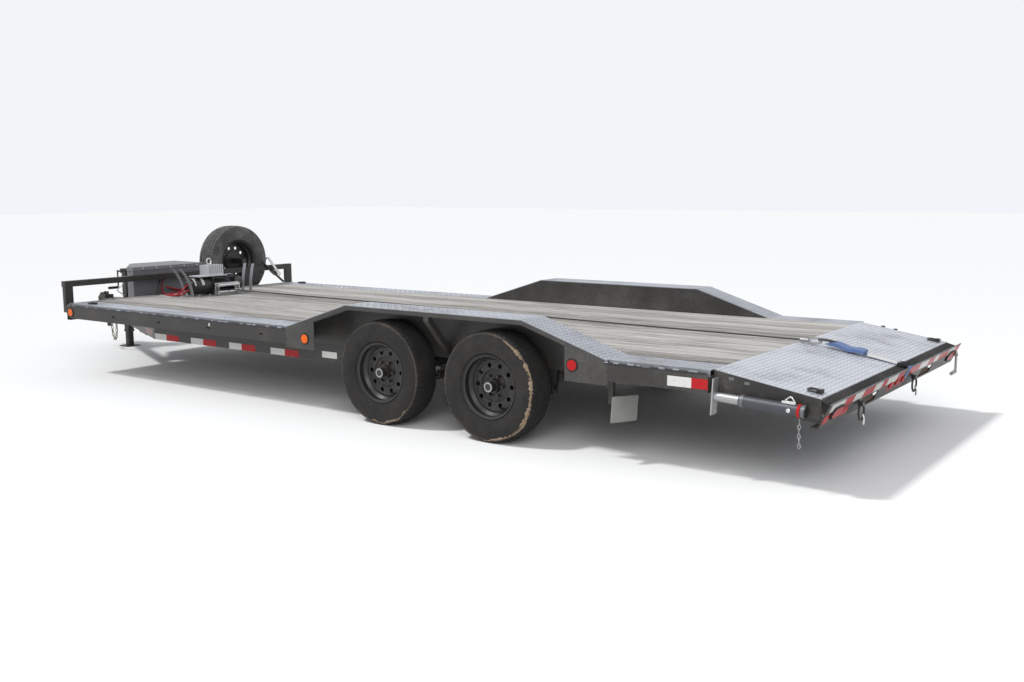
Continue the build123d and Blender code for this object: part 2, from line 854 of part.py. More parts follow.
seat_foot_z = spring_top_z + leaf_rise(spring_width)
with BuildPart() as axles:
    for x in axle_stations:
        with BuildSketch(Plane.XZ.offset(-tube_end_y)):
            with Locations((x, hub_height)):
                Circle(axle_tube_radius)
        extrude(amount=2 * tube_end_y)
        with BuildSketch(Plane.XZ.offset(-spindle_end_y)):
            with Locations((x, hub_height)):
                Circle(spindle_radius)
        extrude(amount=2 * spindle_end_y)
        for side in (1, -1):
            seat_y = side * spring_y
            block(
                x - spring_width, x + spring_width,
                seat_y - spring_width / 2, seat_y + spring_width / 2,
                seat_foot_z, hub_height - axle_tube_radius + 3,
            )
save(axles.part, "axles")

with BuildPart() as brake_plates:
    for x in axle_stations:
        with BuildSketch(Plane.XZ.offset(-(tube_end_y + backing_thickness))):
            with Locations((x, hub_height)):
                Circle(backing_radius)
                Circle(spindle_radius, mode=Mode.SUBTRACT)
        extrude(amount=backing_thickness)
    mirror(about=Plane.XZ)
save(brake_plates.part, "brake_plates")

# Leaf springs under the axles: curved leaves, each shorter than the one above
leaf_halves = (spring_half, 262, 214, 166, 118)
with BuildPart() as leaf_springs:
    for x in axle_stations:
        for i, half in enumerate(leaf_halves):
            top = spring_top_z - i * leaf_thickness
            ends = top + leaf_rise(half)
            with BuildSketch(Plane.XZ.offset(-(spring_y + spring_width / 2))) as leaf:
                with BuildLine() as edge:
                    ThreePointArc((x - half, ends), (x, top), (x + half, ends))
                    Line((x + half, ends), (x + half, ends - leaf_thickness))
                    ThreePointArc(
                        (x + half, ends - leaf_thickness),
                        (x, top - leaf_thickness),
                        (x - half, ends - leaf_thickness),
                    )
                    Line((x - half, ends - leaf_thickness), (x - half, ends))
                make_face(edge.edges())
            extrude(leaf.sketch, amount=spring_width)
        with BuildSketch(Plane.XZ.offset(-(spring_y + spring_width / 2))):
            with Locations((x - spring_half, spring_eye_z), (x + spring_half, spring_eye_z)):
                Circle(eye_radius)
        extrude(amount=spring_width)
        with BuildSketch(Plane.XZ.offset(-(spring_y + spring_width / 2))):
            with Locations((x - spring_half, spring_eye_z), (x + spring_half, spring_eye_z)):
                Circle(bolt_radius + bolt_fit)
        extrude(amount=spring_width, mode=Mode.SUBTRACT)
    mirror(about=Plane.XZ)
save(leaf_springs.part, "leaf_springs")

# Tie plates under the springs and round clamps over the axle tubes
tie_plate = 8
clamp_radius = 6
clamp_reach = axle_tube_radius + clamp_radius
clamp_gap = 2
pack_bottom = spring_top_z - len(leaf_halves) * leaf_thickness
clamp_lines = [
    side * (spring_y + across * (spring_width / 2 + clamp_radius + clamp_gap))
    for side in (1, -1)
    for across in (1, -1)
]
with BuildPart() as axle_clamps:
    for x in axle_stations:
        for side in (1, -1):
            plate_y = side * spring_y
            plate_half = spring_width / 2 + 2 * clamp_radius + 2 * clamp_gap
            block(
                x - clamp_reach - 14, x + clamp_reach + 14,
                plate_y - plate_half, plate_y + plate_half,
                pack_bottom - tie_plate, pack_bottom,
            )
        for y in clamp_lines:
            with BuildLine() as hoop:
                Line((x - clamp_reach, y, pack_bottom - 26), (x - clamp_reach, y, hub_height))
                ThreePointArc(
                    (x - clamp_reach, y, hub_height),
                    (x, y, hub_height + clamp_reach),
                    (x + clamp_reach, y, hub_height),
                )
                Line((x + clamp_reach, y, hub_height), (x + clamp_reach, y, pack_bottom - 26))
            with BuildSketch(Plane.XY.offset(pack_bottom - 26)) as bar:
                with Locations((x - clamp_reach, y)):
                    Circle(clamp_radius)
            sweep(bar.sketch, path=hoop.wire())
save(axle_clamps.part, "axle_clamps")

# Hangers, equalizers and shackle links that carry the spring eyes
hanger_plate = 6
hanger_half = 34
link_plate = 6
link_half = 17
eye_face = spring_width / 2
hanger_face = eye_face + 2
end_eyes = (axle_stations[0] + spring_half, axle_stations[1] - spring_half)
inner_eyes = (axle_stations[0] - spring_half, axle_stations[1] + spring_half)
rear_hanger_x = end_eyes[1] - 14
hangers = (  # station, bolt height, how far the plate reaches below the bolt, half-width between plates
    (end_eyes[0], spring_eye_z, 24, hanger_face),
    (axle_x, equalizer_pivot_z, 26, hanger_face),
    (rear_hanger_x, equalizer_end_z, 22, eye_face - hanger_plate),
)
with BuildPart() as spring_hangers:
    for station, bolt_z, reach, face in hangers:
        top = main_rail_bottom
        for y in (spring_y + face + hanger_plate, spring_y - face):
            plate(
                [
                    (station - hanger_half, top),
                    (station + hanger_half, top),
                    (station + link_half, bolt_z - reach),
                    (station - link_half, bolt_z - reach),
                ],
                y,
                hanger_plate,
            )
        block(
            station - hanger_half, station + hanger_half,
            spring_y - face - hanger_plate, spring_y + face + hanger_plate,
            top - hanger_plate, top,
        )
    for station, bolt_z, reach, face in hangers[:2]:
        with BuildSketch(Plane.XZ.offset(-(spring_y + face + hanger_plate + 12))):
            with Locations((station, bolt_z)):
                Circle(bolt_radius)
        extrude(amount=2 * (face + hanger_plate + 12))
    with BuildSketch(Plane.XZ.offset(-(spring_y + eye_face))):
        with Locations((rear_hanger_x, equalizer_end_z)):
            Circle(bolt_radius + bolt_fit)
    extrude(amount=spring_width, mode=Mode.SUBTRACT)
    mirror(about=Plane.XZ)
save(spring_hangers.part, "spring_hangers")

with BuildPart() as equalizers:
    with BuildSketch(Plane.XZ.offset(-(spring_y + eye_face))):
        outline(
            [
                (axle_x - equalizer_half - 18, equalizer_end_z - 14),
                (axle_x - equalizer_half + 8, equalizer_end_z - 18),
                (axle_x, equalizer_pivot_z - 20),
                (axle_x + equalizer_half - 8, equalizer_end_z - 18),
                (axle_x + equalizer_half + 18, equalizer_end_z - 14),
                (axle_x + equalizer_half + 18, equalizer_end_z + 14),
                (axle_x + 26, equalizer_pivot_z + 24),
                (axle_x - 26, equalizer_pivot_z + 24),
                (axle_x - equalizer_half - 18, equalizer_end_z + 14),
            ]
        )
        with Locations(
            (axle_x, equalizer_pivot_z),
            (axle_x - equalizer_half, equalizer_end_z),
            (axle_x + equalizer_half, equalizer_end_z),
        ):
            Circle(bolt_radius + bolt_fit, mode=Mode.SUBTRACT)
    extrude(amount=spring_width)
    mirror(about=Plane.XZ)
save(equalizers.part, "equalizers")

shackles = (  # upper bolt station, spring eye station
    (axle_x + equalizer_half, inner_eyes[0]),
    (axle_x - equalizer_half, inner_eyes[1]),
    (rear_hanger_x, end_eyes[1]),
)
with BuildPart() as shackle_links:
    for upper_x, eye_x in shackles:
        for y in (spring_y + eye_face + link_plate, spring_y - eye_face):
            plate(
                [
                    (eye_x - link_half, spring_eye_z - 16),
                    (eye_x + link_half, spring_eye_z - 16),
                    (upper_x + link_half, equalizer_end_z + 16),
                    (upper_x - link_half, equalizer_end_z + 16),
                ],
                y,
                link_plate,
            )
        with BuildSketch(Plane.XZ.offset(-(spring_y + eye_face + link_plate + 10))):
            with Locations((upper_x, equalizer_end_z), (eye_x, spring_eye_z)):
                Circle(bolt_radius)
        extrude(amount=spring_width + 2 * link_plate + 20)
    mirror(about=Plane.XZ)
save(shackle_links.part, "shackle_links")

# Spare wheel on a bracket from the headache bar, its dished back facing the deck
spare_y = -670
spare_z = deck_height + 249
spare_x = front_x + bar_height + tyre_width / 2 + 6
spare_centre = (spare_x, spare_y, spare_z)
spare_section = Plane(origin=spare_centre, x_dir=(0, 0, 1), z_dir=(0, -1, 0))
spare_outward = Plane(origin=spare_centre, x_dir=(0, 1, 0), z_dir=(1, 0, 0))
with BuildPart() as spare_tyre:
    with BuildSketch(spare_section):
        tyre_section()
    revolve(axis=Axis(spare_centre, (1, 0, 0)), revolution_arc=360)
save(spare_tyre.part, "spare_tyre")

with BuildPart() as spare_rim:
    with BuildSketch(spare_section):
        rim_section()
    revolve(axis=Axis(spare_centre, (1, 0, 0)), revolution_arc=360)
    with BuildSketch(spare_outward.offset(disc_offset)):
        Circle(disc_radius)
        Circle(42, mode=Mode.SUBTRACT)
        with PolarLocations(vent_circle / 2, vent_count):
            Circle(vent_radius, mode=Mode.SUBTRACT)
        with PolarLocations(lug_circle / 2, lug_count):
            Circle(bolt_radius + bolt_fit, mode=Mode.SUBTRACT)
    extrude(amount=disc_thickness)
save(spare_rim.part, "spare_rim")

arm_half = 25
with BuildPart() as spare_carrier:
    block(
        front_x, front_x + bar_height,
        spare_y - arm_half, spare_y + arm_half,
        headache_top, spare_z + arm_half,
    )
    block(
        front_x + bar_height, spare_x + disc_offset,
        spare_y - arm_half, spare_y + arm_half,
        spare_z - arm_half, spare_z + arm_half,
    )
    with BuildSketch(spare_outward.offset(disc_offset)):
        Circle(96)
    extrude(amount=-8)
    with BuildSketch(spare_outward.offset(disc_offset)):
        with PolarLocations(lug_circle / 2, 3):
            Circle(bolt_radius)
    extrude(amount=30)
save(spare_carrier.part, "spare_carrier")

# Electric winch on the deck: mount with flared arms, roller fairlead, motor, drum, gearbox
winch_from_front = 426
winch_x = front_x - winch_from_front
winch_axis_z = deck_height + 92
winch_y = -10
tray_thickness = 8
tray_rear_x = winch_x - 96
tray_front_x = winch_x + 96
tray_half = 346
arm_top_z = deck_height + 262
arm_width = 34
arm_stations = (winch_x - 62, winch_x + 50)
arm_flares = ((1, 124), (-1, 40))
with BuildPart() as winch_mount:
    block(
        tray_rear_x, tray_front_x,
        -tray_half, tray_half,
        deck_height, deck_height + tray_thickness,
    )
    for x in arm_stations:
        for side, flare in arm_flares:
            foot_y = side * (tray_half - 6)
            knee_y = foot_y + side * flare * 0.25
            tip_y = foot_y + side * flare
            with BuildSketch(Plane.YZ.offset(x)) as arm:
                with BuildLine() as edge:
                    ThreePointArc(
                        (foot_y, deck_height),
                        (knee_y, (deck_height + arm_top_z) / 2),
                        (tip_y, arm_top_z),
                    )
                    Line((tip_y, arm_top_z), (tip_y - side * 7, arm_top_z))
                    ThreePointArc(
                        (tip_y - side * 7, arm_top_z),
                        (knee_y - side * 7, (deck_height + arm_top_z) / 2),
                        (foot_y - side * 7, deck_height),
                    )
                    Line((foot_y - side * 7, deck_height), (foot_y, deck_height))
                make_face(edge.edges())
            extrude(arm.sketch, amount=arm_width)
save(winch_mount.part, "winch_mount")

winch_base_z = deck_height + tray_thickness
drum_half = 120
motor_radius = 76
motor_end_y = 330
gear_end_y = -232
with BuildPart() as winch_body:
    with BuildSketch(Plane.XZ.offset(-motor_end_y)):
        with Locations((winch_x, winch_axis_z)):
            Circle(motor_radius)
    extrude(amount=motor_end_y - drum_half - 14)
    with BuildSketch(Plane.XZ.offset(-drum_half - 14)):
        with Locations((winch_x, winch_axis_z)):
            Rectangle(158, 2 * (winch_axis_z - winch_base_z))
    extrude(amount=14)
    with BuildSketch(Plane.XZ.offset(drum_half)):
        with Locations((winch_x, winch_axis_z)):
            Rectangle(158, 2 * (winch_axis_z - winch_base_z))
    extrude(amount=14)
    with BuildSketch(Plane.XZ.offset(drum_half + 14)):
        with Locations((winch_x, winch_axis_z)):
            Circle(78)
    extrude(amount=-gear_end_y - drum_half - 14, taper=10)
    with BuildSketch(Plane.XZ.offset(-drum_half)):
        with Locations((winch_x, winch_axis_z)):
            Circle(32)
        with Locations(
            (winch_x - 66, winch_axis_z + 66),
            (winch_x + 66, winch_axis_z + 66),
            (winch_x + 66, winch_axis_z - 66),
        ):
            Circle(9)
    extrude(amount=2 * drum_half)
    block(
        winch_x - 30, winch_x - 18,
        gear_end_y + 22, gear_end_y + 34,
        winch_axis_z + 52, winch_axis_z + 128,
    )
    with BuildSketch(Plane.XZ.offset(-gear_end_y + 8)):
        with Locations((winch_x, winch_axis_z)):
            Circle(34)
    extrude(amount=-12)
save(winch_body.part, "winch_body")

cover_z = winch_axis_z + 84
with BuildPart() as winch_control_box:
    block(winch_x - 70, winch_x + 70, -50, 280, cover_z, cover_z + 8)
    block(winch_x - 52, winch_x + 52, -15, 170, cover_z + 8, cover_z + 100)
    for y in (-drum_half - 14, drum_half):
        block(winch_x - 40, winch_x + 40, y, y + 14, cover_z, cover_z + 4)
save(winch_control_box.part, "winch_control_box")

fairlead_x = tray_rear_x - 14
roller_radius = 13
roller_gap = 34
with BuildPart() as winch_fairlead:
    block(fairlead_x, tray_rear_x - 4, -132, 132, deck_height + 2, deck_height + 115)
    block(fairlead_x - 1, tray_rear_x, -94, 94, deck_height + 24, deck_height + 93, mode=Mode.SUBTRACT)
    block(tray_rear_x - 4, tray_rear_x, -132, 132, deck_height + 2, deck_height + 14)
    for y in (-126, 112):
        block(fairlead_x - 34, fairlead_x, y, y + 14, deck_height + 6, deck_height + 110)
    roller_x = fairlead_x - 18
    with BuildSketch(Plane.XZ.offset(-112)):
        with Locations(
            (roller_x, deck_height + 30),
            (roller_x, deck_height + 30 + 2 * roller_radius + roller_gap),
        ):
            Circle(roller_radius)
    extrude(amount=224)
save(winch_fairlead.part, "winch_fairlead")

rope_radius = 5
rope_y = -20
rope_z = deck_height + 14
rope_end_x = break_x - 4
wrap_radius = 48
with BuildPart() as winch_rope:
    with BuildSketch(Plane.XZ.offset(-drum_half + 4)):
        with Locations((winch_x, winch_axis_z)):
            Circle(wrap_radius)
            Circle(32, mode=Mode.SUBTRACT)
    extrude(amount=2 * drum_half - 8)
    lead_z = winch_axis_z - wrap_radius + rope_radius
    with BuildLine(Plane.XZ.offset(-rope_y)) as lead:
        Polyline((winch_x, lead_z), (roller_x, deck_height + 48), (rope_end_x, rope_z))
    with BuildSketch(Plane.YZ.offset(winch_x)) as strand:
        with Locations((rope_y, lead_z)):
            Circle(rope_radius)
    sweep(strand.sketch, path=lead.wire(), transition=Transition.RIGHT)
save(winch_rope.part, "winch_rope")

# Hook at the rope's end and a strap down the dovetail to the bumper
hook_length = 150
strap_half = 25
strap_y = -72
strap_end_z = bumper_bottom + 64
strap_front_x = rope_end_x - hook_length
with BuildPart() as tow_hook:
    with BuildSketch(Plane.YZ.offset(rope_end_x)):
        with Locations((rope_y, rope_z)):
            Circle(12)
    extrude(amount=-54)
    with BuildSketch(Plane.XZ.offset(-rope_y - 8)):
        with Locations((rope_end_x - 92, rope_z)):
            SlotOverall(96, 42)
            SlotOverall(60, 22, mode=Mode.SUBTRACT)
    extrude(amount=16)
save(tow_hook.part, "tow_hook")

with BuildPart() as tie_strap:
    plate(
        [
            (strap_front_x, rope_z - 18),
            (tail_x - strap_thickness - strap_gap, bumper_top + strap_thickness + 1),
            (bumper_x(strap_end_z) - strap_thickness - strap_gap, strap_end_z),
            (bumper_x(strap_end_z) - strap_gap, strap_end_z),
            (tail_x - strap_gap, bumper_top + 1),
            (strap_front_x, rope_z - 18 - strap_thickness),
        ],
        strap_y + strap_half,
        2 * strap_half,
    )
save(tie_strap.part, "tie_strap")

# Loading ramps: ladder frames that slide in the pockets under the dovetail
ramp_rear_x = tail_x + 60
ramp_low_z = ramp_slot_bottom + ramp_clearance
ramp_high_z = ramp_slot_top - ramp_clearance
ramp_side_y = (ramp_inner_y + ramp_clearance, ramp_outer_y - ramp_clearance)
rung_pitch = 152
rung_count = int(ramp_length // rung_pitch)
for side_name, side in SIDES:
    low_y, high_y = sorted((side * ramp_side_y[0], side * ramp_side_y[1]))
    with BuildPart() as ramp:
        for y in (low_y, high_y - wall):
            block(ramp_rear_x, ramp_rear_x + ramp_length, y, y + wall, ramp_low_z, ramp_high_z)
        for i in range(rung_count):
            rung_x = ramp_rear_x + wall + i * rung_pitch
            block(rung_x, rung_x + 38, low_y, high_y, ramp_high_z - 5, ramp_high_z)
            block(rung_x, rung_x + 5, low_y, high_y, ramp_high_z - 38, ramp_high_z)
        block(ramp_rear_x, ramp_rear_x + wall, low_y, high_y, ramp_low_z, ramp_high_z)
        block(
            ramp_rear_x + ramp_length - wall, ramp_rear_x + ramp_length,
            low_y, high_y, ramp_low_z, ramp_high_z,
        )
    save(ramp.part, f"ramp_{side_name}")

# Rear stabiliser jacks: stored level beside the dovetail, swinging down on pins
prop_radius = 33
prop_wall = 4
prop_leg_radius = 25
prop_tilt = 3
prop_tail = 84
prop_mouth = 279
prop_foot = 431
prop_foot_height = 200
prop_pin_fit = 0.05
for side_name, side in SIDES:
    lean = Vector(cos(radians(prop_tilt)), 0, sin(radians(prop_tilt)))
    pivot = Vector(prop_pivot_x, side * prop_y, prop_pivot_z)
    tube_axis = Plane(origin=pivot - lean * prop_tail, x_dir=(0, 1, 0), z_dir=lean)
    pin_plane = Plane(origin=pivot, x_dir=(1, 0, 0), z_dir=(0, -side, 0))
    with BuildPart() as prop_tube:
        with BuildSketch(tube_axis):
            Circle(prop_radius)
        extrude(amount=prop_tail + prop_mouth)
        with BuildSketch(tube_axis.offset(prop_wall)):
            Circle(prop_radius - prop_wall)
        extrude(amount=prop_tail + prop_mouth - 4 * prop_wall, mode=Mode.SUBTRACT)
        with BuildSketch(tube_axis.offset(prop_tail + prop_mouth - 4 * prop_wall)):
            Circle(prop_leg_radius)
        extrude(amount=4 * prop_wall, mode=Mode.SUBTRACT)
        with BuildSketch(pin_plane):
            Circle(prop_pin_radius + 6)
        extrude(amount=prop_radius - 1)
        with BuildSketch(pin_plane):
            Circle(prop_pin_radius + prop_pin_fit)
        extrude(amount=prop_radius + 1, mode=Mode.SUBTRACT)
    save(prop_tube.part, f"rear_jack_tube_{side_name}")

    with BuildPart() as prop_leg:
        with BuildSketch(tube_axis.offset(prop_tail + prop_pin_radius + 12)):
            Circle(prop_leg_radius)
        extrude(amount=prop_foot - prop_pin_radius - 12 - 8)
        with BuildSketch(tube_axis.offset(prop_tail + prop_foot - 8)):
            Rectangle(2 * prop_radius, prop_foot_height)
        extrude(amount=8)
    save(prop_leg.part, f"rear_jack_leg_{side_name}")

# Lamps: amber and red side markers, red tail ovals and three red centre lamps
lamp_proud = 6
lamp_body = 14
lamp_radius = lamp_hole_radius - 0.5
bumper_mid_z = bumper_bottom + bumper_height / 2
tail_lamp_y = half_width - 172.5
centre_lamps_y = (217, 97, -23)
with BuildPart() as amber_lamps:
    with BuildSketch(Plane.XZ.offset(-half_width - lamp_proud)):
        with Locations((front_lamp_x, lamp_z), (mid_lamp_x, lamp_z)):
            Circle(lamp_radius)
    extrude(amount=lamp_body)
    mirror(about=Plane.XZ)
save(amber_lamps.part, "amber_lamps")


def bumper_face(y, z):
    """Plane on the bumper's leaning rear face, local z out of the face."""
    return Plane(origin=(bumper_x(z), y, z), x_dir=(0, 1, 0), z_dir=(-bumper_height, 0, -bumper_lean))


with BuildPart() as red_lamps:
    with BuildSketch(Plane.XZ.offset(-half_width - lamp_proud)):
        with Locations((rear_lamp_x, rear_lamp_z)):
            Circle(lamp_radius)
    extrude(amount=lamp_body)
    mirror(about=Plane.XZ)
    for side in (1, -1):
        with BuildSketch(bumper_face(side * tail_lamp_y, bumper_mid_z)):
            SlotOverall(150, 56)
        extrude(amount=10)
    for y in centre_lamps_y:
        with BuildSketch(bumper_face(y, bumper_mid_z)):
            Circle(19)
        extrude(amount=8)
save(red_lamps.part, "red_lamps")

# Tie-down rings: two on the deck edge, two on the dovetail, two hanging on the bumper
ring_bar = 6
deck_ring_radius = 32
deck_ring_places = (  # station, distance from the centre line, tilt of the surface in degrees
    (front_x - 246, strip_outer_y - 70.5, 0),
    (tail_x + 149, dovetail_half - 91, degrees(atan2(dovetail_drop, dovetail_run))),
)
bumper_ring_radius = 44
bumper_ring_places = (762, -240)
bumper_ring_x = tail_x + 18
clip_half = 16
with BuildPart() as tie_rings:
    for x, y, slope in deck_ring_places:
        seat_z = deck_z(x) + ring_bar + 4
        clip_x = x - deck_ring_radius
        for side in (1, -1):
            with Locations(Location((x, side * y, seat_z), (0, -slope, 0))):
                Torus(deck_ring_radius, ring_bar)
            block(
                clip_x - clip_half, clip_x + clip_half,
                side * y - clip_half, side * y + clip_half,
                deck_z(clip_x + clip_half), seat_z + ring_bar + 3,
            )
    for y in bumper_ring_places:
        with Locations(Location((bumper_ring_x, y, bumper_bottom + 4), (0, 90, 0))):
            Torus(bumper_ring_radius, ring_bar)
        block(
            bumper_ring_x - 11, bumper_x(bumper_bottom + 60),
            y - clip_half, y + clip_half,
            bumper_bottom + 36, bumper_bottom + 60,
        )
save(tie_rings.part, "tie_rings")

# Jack crank stowed on the bumper
crank_y = -(half_width - 73.5)
crank_x = tail_x + 12
crank_foot_z = bumper_bottom - 65
crank_hook_z = bumper_bottom + 67
with BuildPart() as stowed_crank:
    with BuildSketch(Plane.XY.offset(crank_foot_z)):
        with Locations((crank_x, crank_y)):
            Circle(8)
    extrude(amount=crank_hook_z - crank_foot_z + 16)
    with BuildSketch(Plane.XZ.offset(-crank_y - 104)):
        with Locations((crank_x + 2, crank_foot_z + 8)):
            Circle(12)
    extrude(amount=104)
    block(crank_x - 11, bumper_x(crank_hook_z), crank_y - 11, crank_y + 11, crank_hook_z - 16, crank_hook_z)
save(stowed_crank.part, "stowed_crank")

# Safety chains hanging in loops from the tongue rails
chain_radius = 8
chain_top_z = under_rail_bottom
chain_low_z = 88
chain_rear_x = nose_x - 620
chain_front_x = nose_x - 390
chain_ends = (
    (chain_front_x, tongue_half(chain_front_x) - flange / 2),
    (chain_rear_x, tongue_half(chain_rear_x) - flange / 2),
)
with BuildPart() as safety_chains:
    (x0, y0), (x1, y1) = chain_ends
    loop_radius = ((x1 - x0) ** 2 + (y1 - y0) ** 2) ** 0.5 / 2
    bend_z = chain_low_z + chain_radius + loop_radius
    for side in (1, -1):
        with BuildLine() as hang:
            Line((x0, side * y0, chain_top_z), (x0, side * y0, bend_z))
            ThreePointArc(
                (x0, side * y0, bend_z),
                ((x0 + x1) / 2, side * (y0 + y1) / 2, bend_z - loop_radius),
                (x1, side * y1, bend_z),
            )
            Line((x1, side * y1, bend_z), (x1, side * y1, chain_top_z))
        with BuildSketch(Plane.XY.offset(chain_top_z)) as link:
            with Locations((x0, side * y0)):
                Circle(chain_radius)
        sweep(link.sketch, path=hang.wire())
save(safety_chains.part, "safety_chains")

# Number plate hanging askew from a bracket behind the left wheels
tag_x = fender_rear_x - 32
tag_y = wheel_centre_y - 36
tag_z = deck_height - 305
tag_width = 305
tag_height = 152
tag_tilt = 7
post_half = 15
with BuildPart() as plate_bracket:
    block(
        tag_x + 72, tag_x + 72 + 2 * post_half,
        tag_y - post_half, tag_y + post_half,
        tag_z + 20, deck_height + 6.5,
    )
    block(tag_x + 1, tag_x + 72, tag_y - post_half, tag_y + post_half, tag_z + 40, tag_z + 46)
save(plate_bracket.part, "plate_bracket")

with BuildPart() as number_plate:
    with BuildSketch(Plane.YZ.offset(tag_x - 1)):
        with Locations((tag_y, tag_z)):
            RectangleRounded(tag_width, tag_height, 12, rotation=tag_tilt)
    extrude(amount=2)
save(number_plate.part, "number_plate")

# Battery cables of the winch: along the deck and up to the toolbox
lead_radius = 8
lead_stub = 22
lead_lying_z = deck_height + lead_radius
lead_routes = (  # name, then points from the motor's end to the toolbox
    (
        "upper",
        (
            (winch_x + 10, motor_end_y, winch_axis_z + 20),
            (winch_x + 10, motor_end_y + lead_stub, winch_axis_z + 20),
            (winch_x + 20, motor_end_y + 76, lead_lying_z + 34),
            (winch_x + 110, motor_end_y + 84, lead_lying_z),
            (winch_x + 190, motor_end_y + 72, lead_lying_z),
            (front_x - 96, motor_end_y + 26, lead_lying_z),
            (front_x - 30, 320, lead_lying_z),
            (front_x + 40, 290, lead_lying_z + 6),
            (box_rear_x - lead_stub, 262, lead_lying_z + 54),
            (box_rear_x - lead_stub, 245, box_top - 95),
            (box_rear_x, 245, box_top - 95),
        ),
    ),
    (
        "lower",
        (
            (winch_x + 10, motor_end_y, winch_axis_z - 34),
            (winch_x + 10, motor_end_y + lead_stub, winch_axis_z - 34),
            (winch_x + 40, motor_end_y + 54, lead_lying_z + 10),
            (winch_x + 110, motor_end_y + 54, lead_lying_z),
            (winch_x + 190, motor_end_y + 36, lead_lying_z),
            (front_x - 96, motor_end_y - 8, lead_lying_z),
            (front_x - 30, 196, lead_lying_z),
            (front_x + 10, 20, lead_lying_z),
            (front_x + 40, -20, lead_lying_z),
            (front_x + 64, 20, lead_lying_z + 4),
            (box_rear_x - lead_stub, 120, lead_lying_z + 20),
            (box_rear_x - lead_stub, 195, box_top - 175),
            (box_rear_x, 195, box_top - 175),
        ),
    ),
)
for lead_name, route in lead_routes:
    with BuildPart() as winch_lead:
        with BuildLine() as run:
            Polyline(*route)
        with BuildSketch(Plane(origin=route[0], z_dir=(0, 1, 0))) as core:
            Circle(lead_radius)
        sweep(core.sketch, path=run.wire(), transition=Transition.ROUND)
    save(winch_lead.part, f"winch_lead_{lead_name}")
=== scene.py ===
"""Studio scene of a tandem-axle car hauler trailer, dressed over its CAD frame.

Every length is in metres in the frame's own axes: +X forward to the coupler, +Y to the left
side, +Z up, with the ground at zero.
"""

import json
import logging
import math
from dataclasses import dataclass, field
from enum import Enum
from typing import Any, Callable, Optional, Sequence, Union

import bpy
import numpy as np
from mathutils import Matrix, Vector

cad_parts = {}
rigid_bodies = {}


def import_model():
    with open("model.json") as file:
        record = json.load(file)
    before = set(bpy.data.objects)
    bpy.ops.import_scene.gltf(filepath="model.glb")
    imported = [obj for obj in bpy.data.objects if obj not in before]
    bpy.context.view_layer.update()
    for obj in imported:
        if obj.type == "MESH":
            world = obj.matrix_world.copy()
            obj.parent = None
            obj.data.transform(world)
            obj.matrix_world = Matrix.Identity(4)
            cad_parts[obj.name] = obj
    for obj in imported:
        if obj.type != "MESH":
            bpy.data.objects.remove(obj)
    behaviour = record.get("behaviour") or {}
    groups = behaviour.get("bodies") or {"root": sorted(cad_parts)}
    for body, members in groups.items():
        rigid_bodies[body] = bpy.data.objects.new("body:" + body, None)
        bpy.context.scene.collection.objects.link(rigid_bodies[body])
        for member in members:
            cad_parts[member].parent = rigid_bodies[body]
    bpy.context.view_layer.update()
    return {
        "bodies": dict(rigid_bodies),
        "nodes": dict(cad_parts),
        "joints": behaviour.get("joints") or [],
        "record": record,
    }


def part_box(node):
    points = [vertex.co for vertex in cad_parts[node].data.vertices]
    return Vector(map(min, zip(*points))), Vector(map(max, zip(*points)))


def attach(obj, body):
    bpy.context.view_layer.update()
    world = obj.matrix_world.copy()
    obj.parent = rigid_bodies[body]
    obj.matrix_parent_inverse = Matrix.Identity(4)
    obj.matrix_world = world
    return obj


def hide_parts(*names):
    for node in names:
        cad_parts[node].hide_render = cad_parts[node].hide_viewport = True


LOG = logging.getLogger("trailer")
Number = Union[int, float]
Triple = tuple[float, float, float]
Pairs = tuple[tuple[float, float], ...]


# Shader expressions


def operator(operation: str, swapped: bool = False) -> Callable[..., "Wire"]:
    """A method that adds one Math node over a wire and any other terms.

    Args:
        operation: Kind of Math node.
        swapped: Puts the wire last, for an operator called from its right.

    Returns:
        The method.
    """

    def method(wire: "Wire", *others: "Signal") -> "Wire":
        return wire.shader.math(operation, *((*others, wire) if swapped else (wire, *others)))

    return method


class Wire:
    """A shader socket that takes part in arithmetic; each operator adds one Math node."""

    __add__, __radd__, __mul__ = operator("ADD"), operator("ADD", swapped=True), operator("MULTIPLY")
    __sub__, __rsub__ = operator("SUBTRACT"), operator("SUBTRACT", swapped=True)
    __truediv__, __abs__ = operator("DIVIDE"), operator("ABSOLUTE")
    floor, fraction = operator("FLOOR"), operator("FRACT")

    def __init__(self, shader: "Shader", socket: bpy.types.NodeSocket) -> None:
        """Keeps the socket and the shader that its nodes belong to."""
        self.shader = shader
        self.socket = socket

    def wave(self, period: float) -> "Wire":
        """Triangle wave: a half at every whole period, zero halfway between."""
        return abs((self / period).fraction() - 0.5)

    def smooth(self, low: float, high: float) -> "Wire":
        """Eased step from zero at low to one at high."""
        return self.shader.node(
            "ShaderNodeMapRange",
            {"interpolation_type": "SMOOTHSTEP"},
            {"Value": self, "From Min": low, "From Max": high},
        )


Signal = Union[Wire, Number]


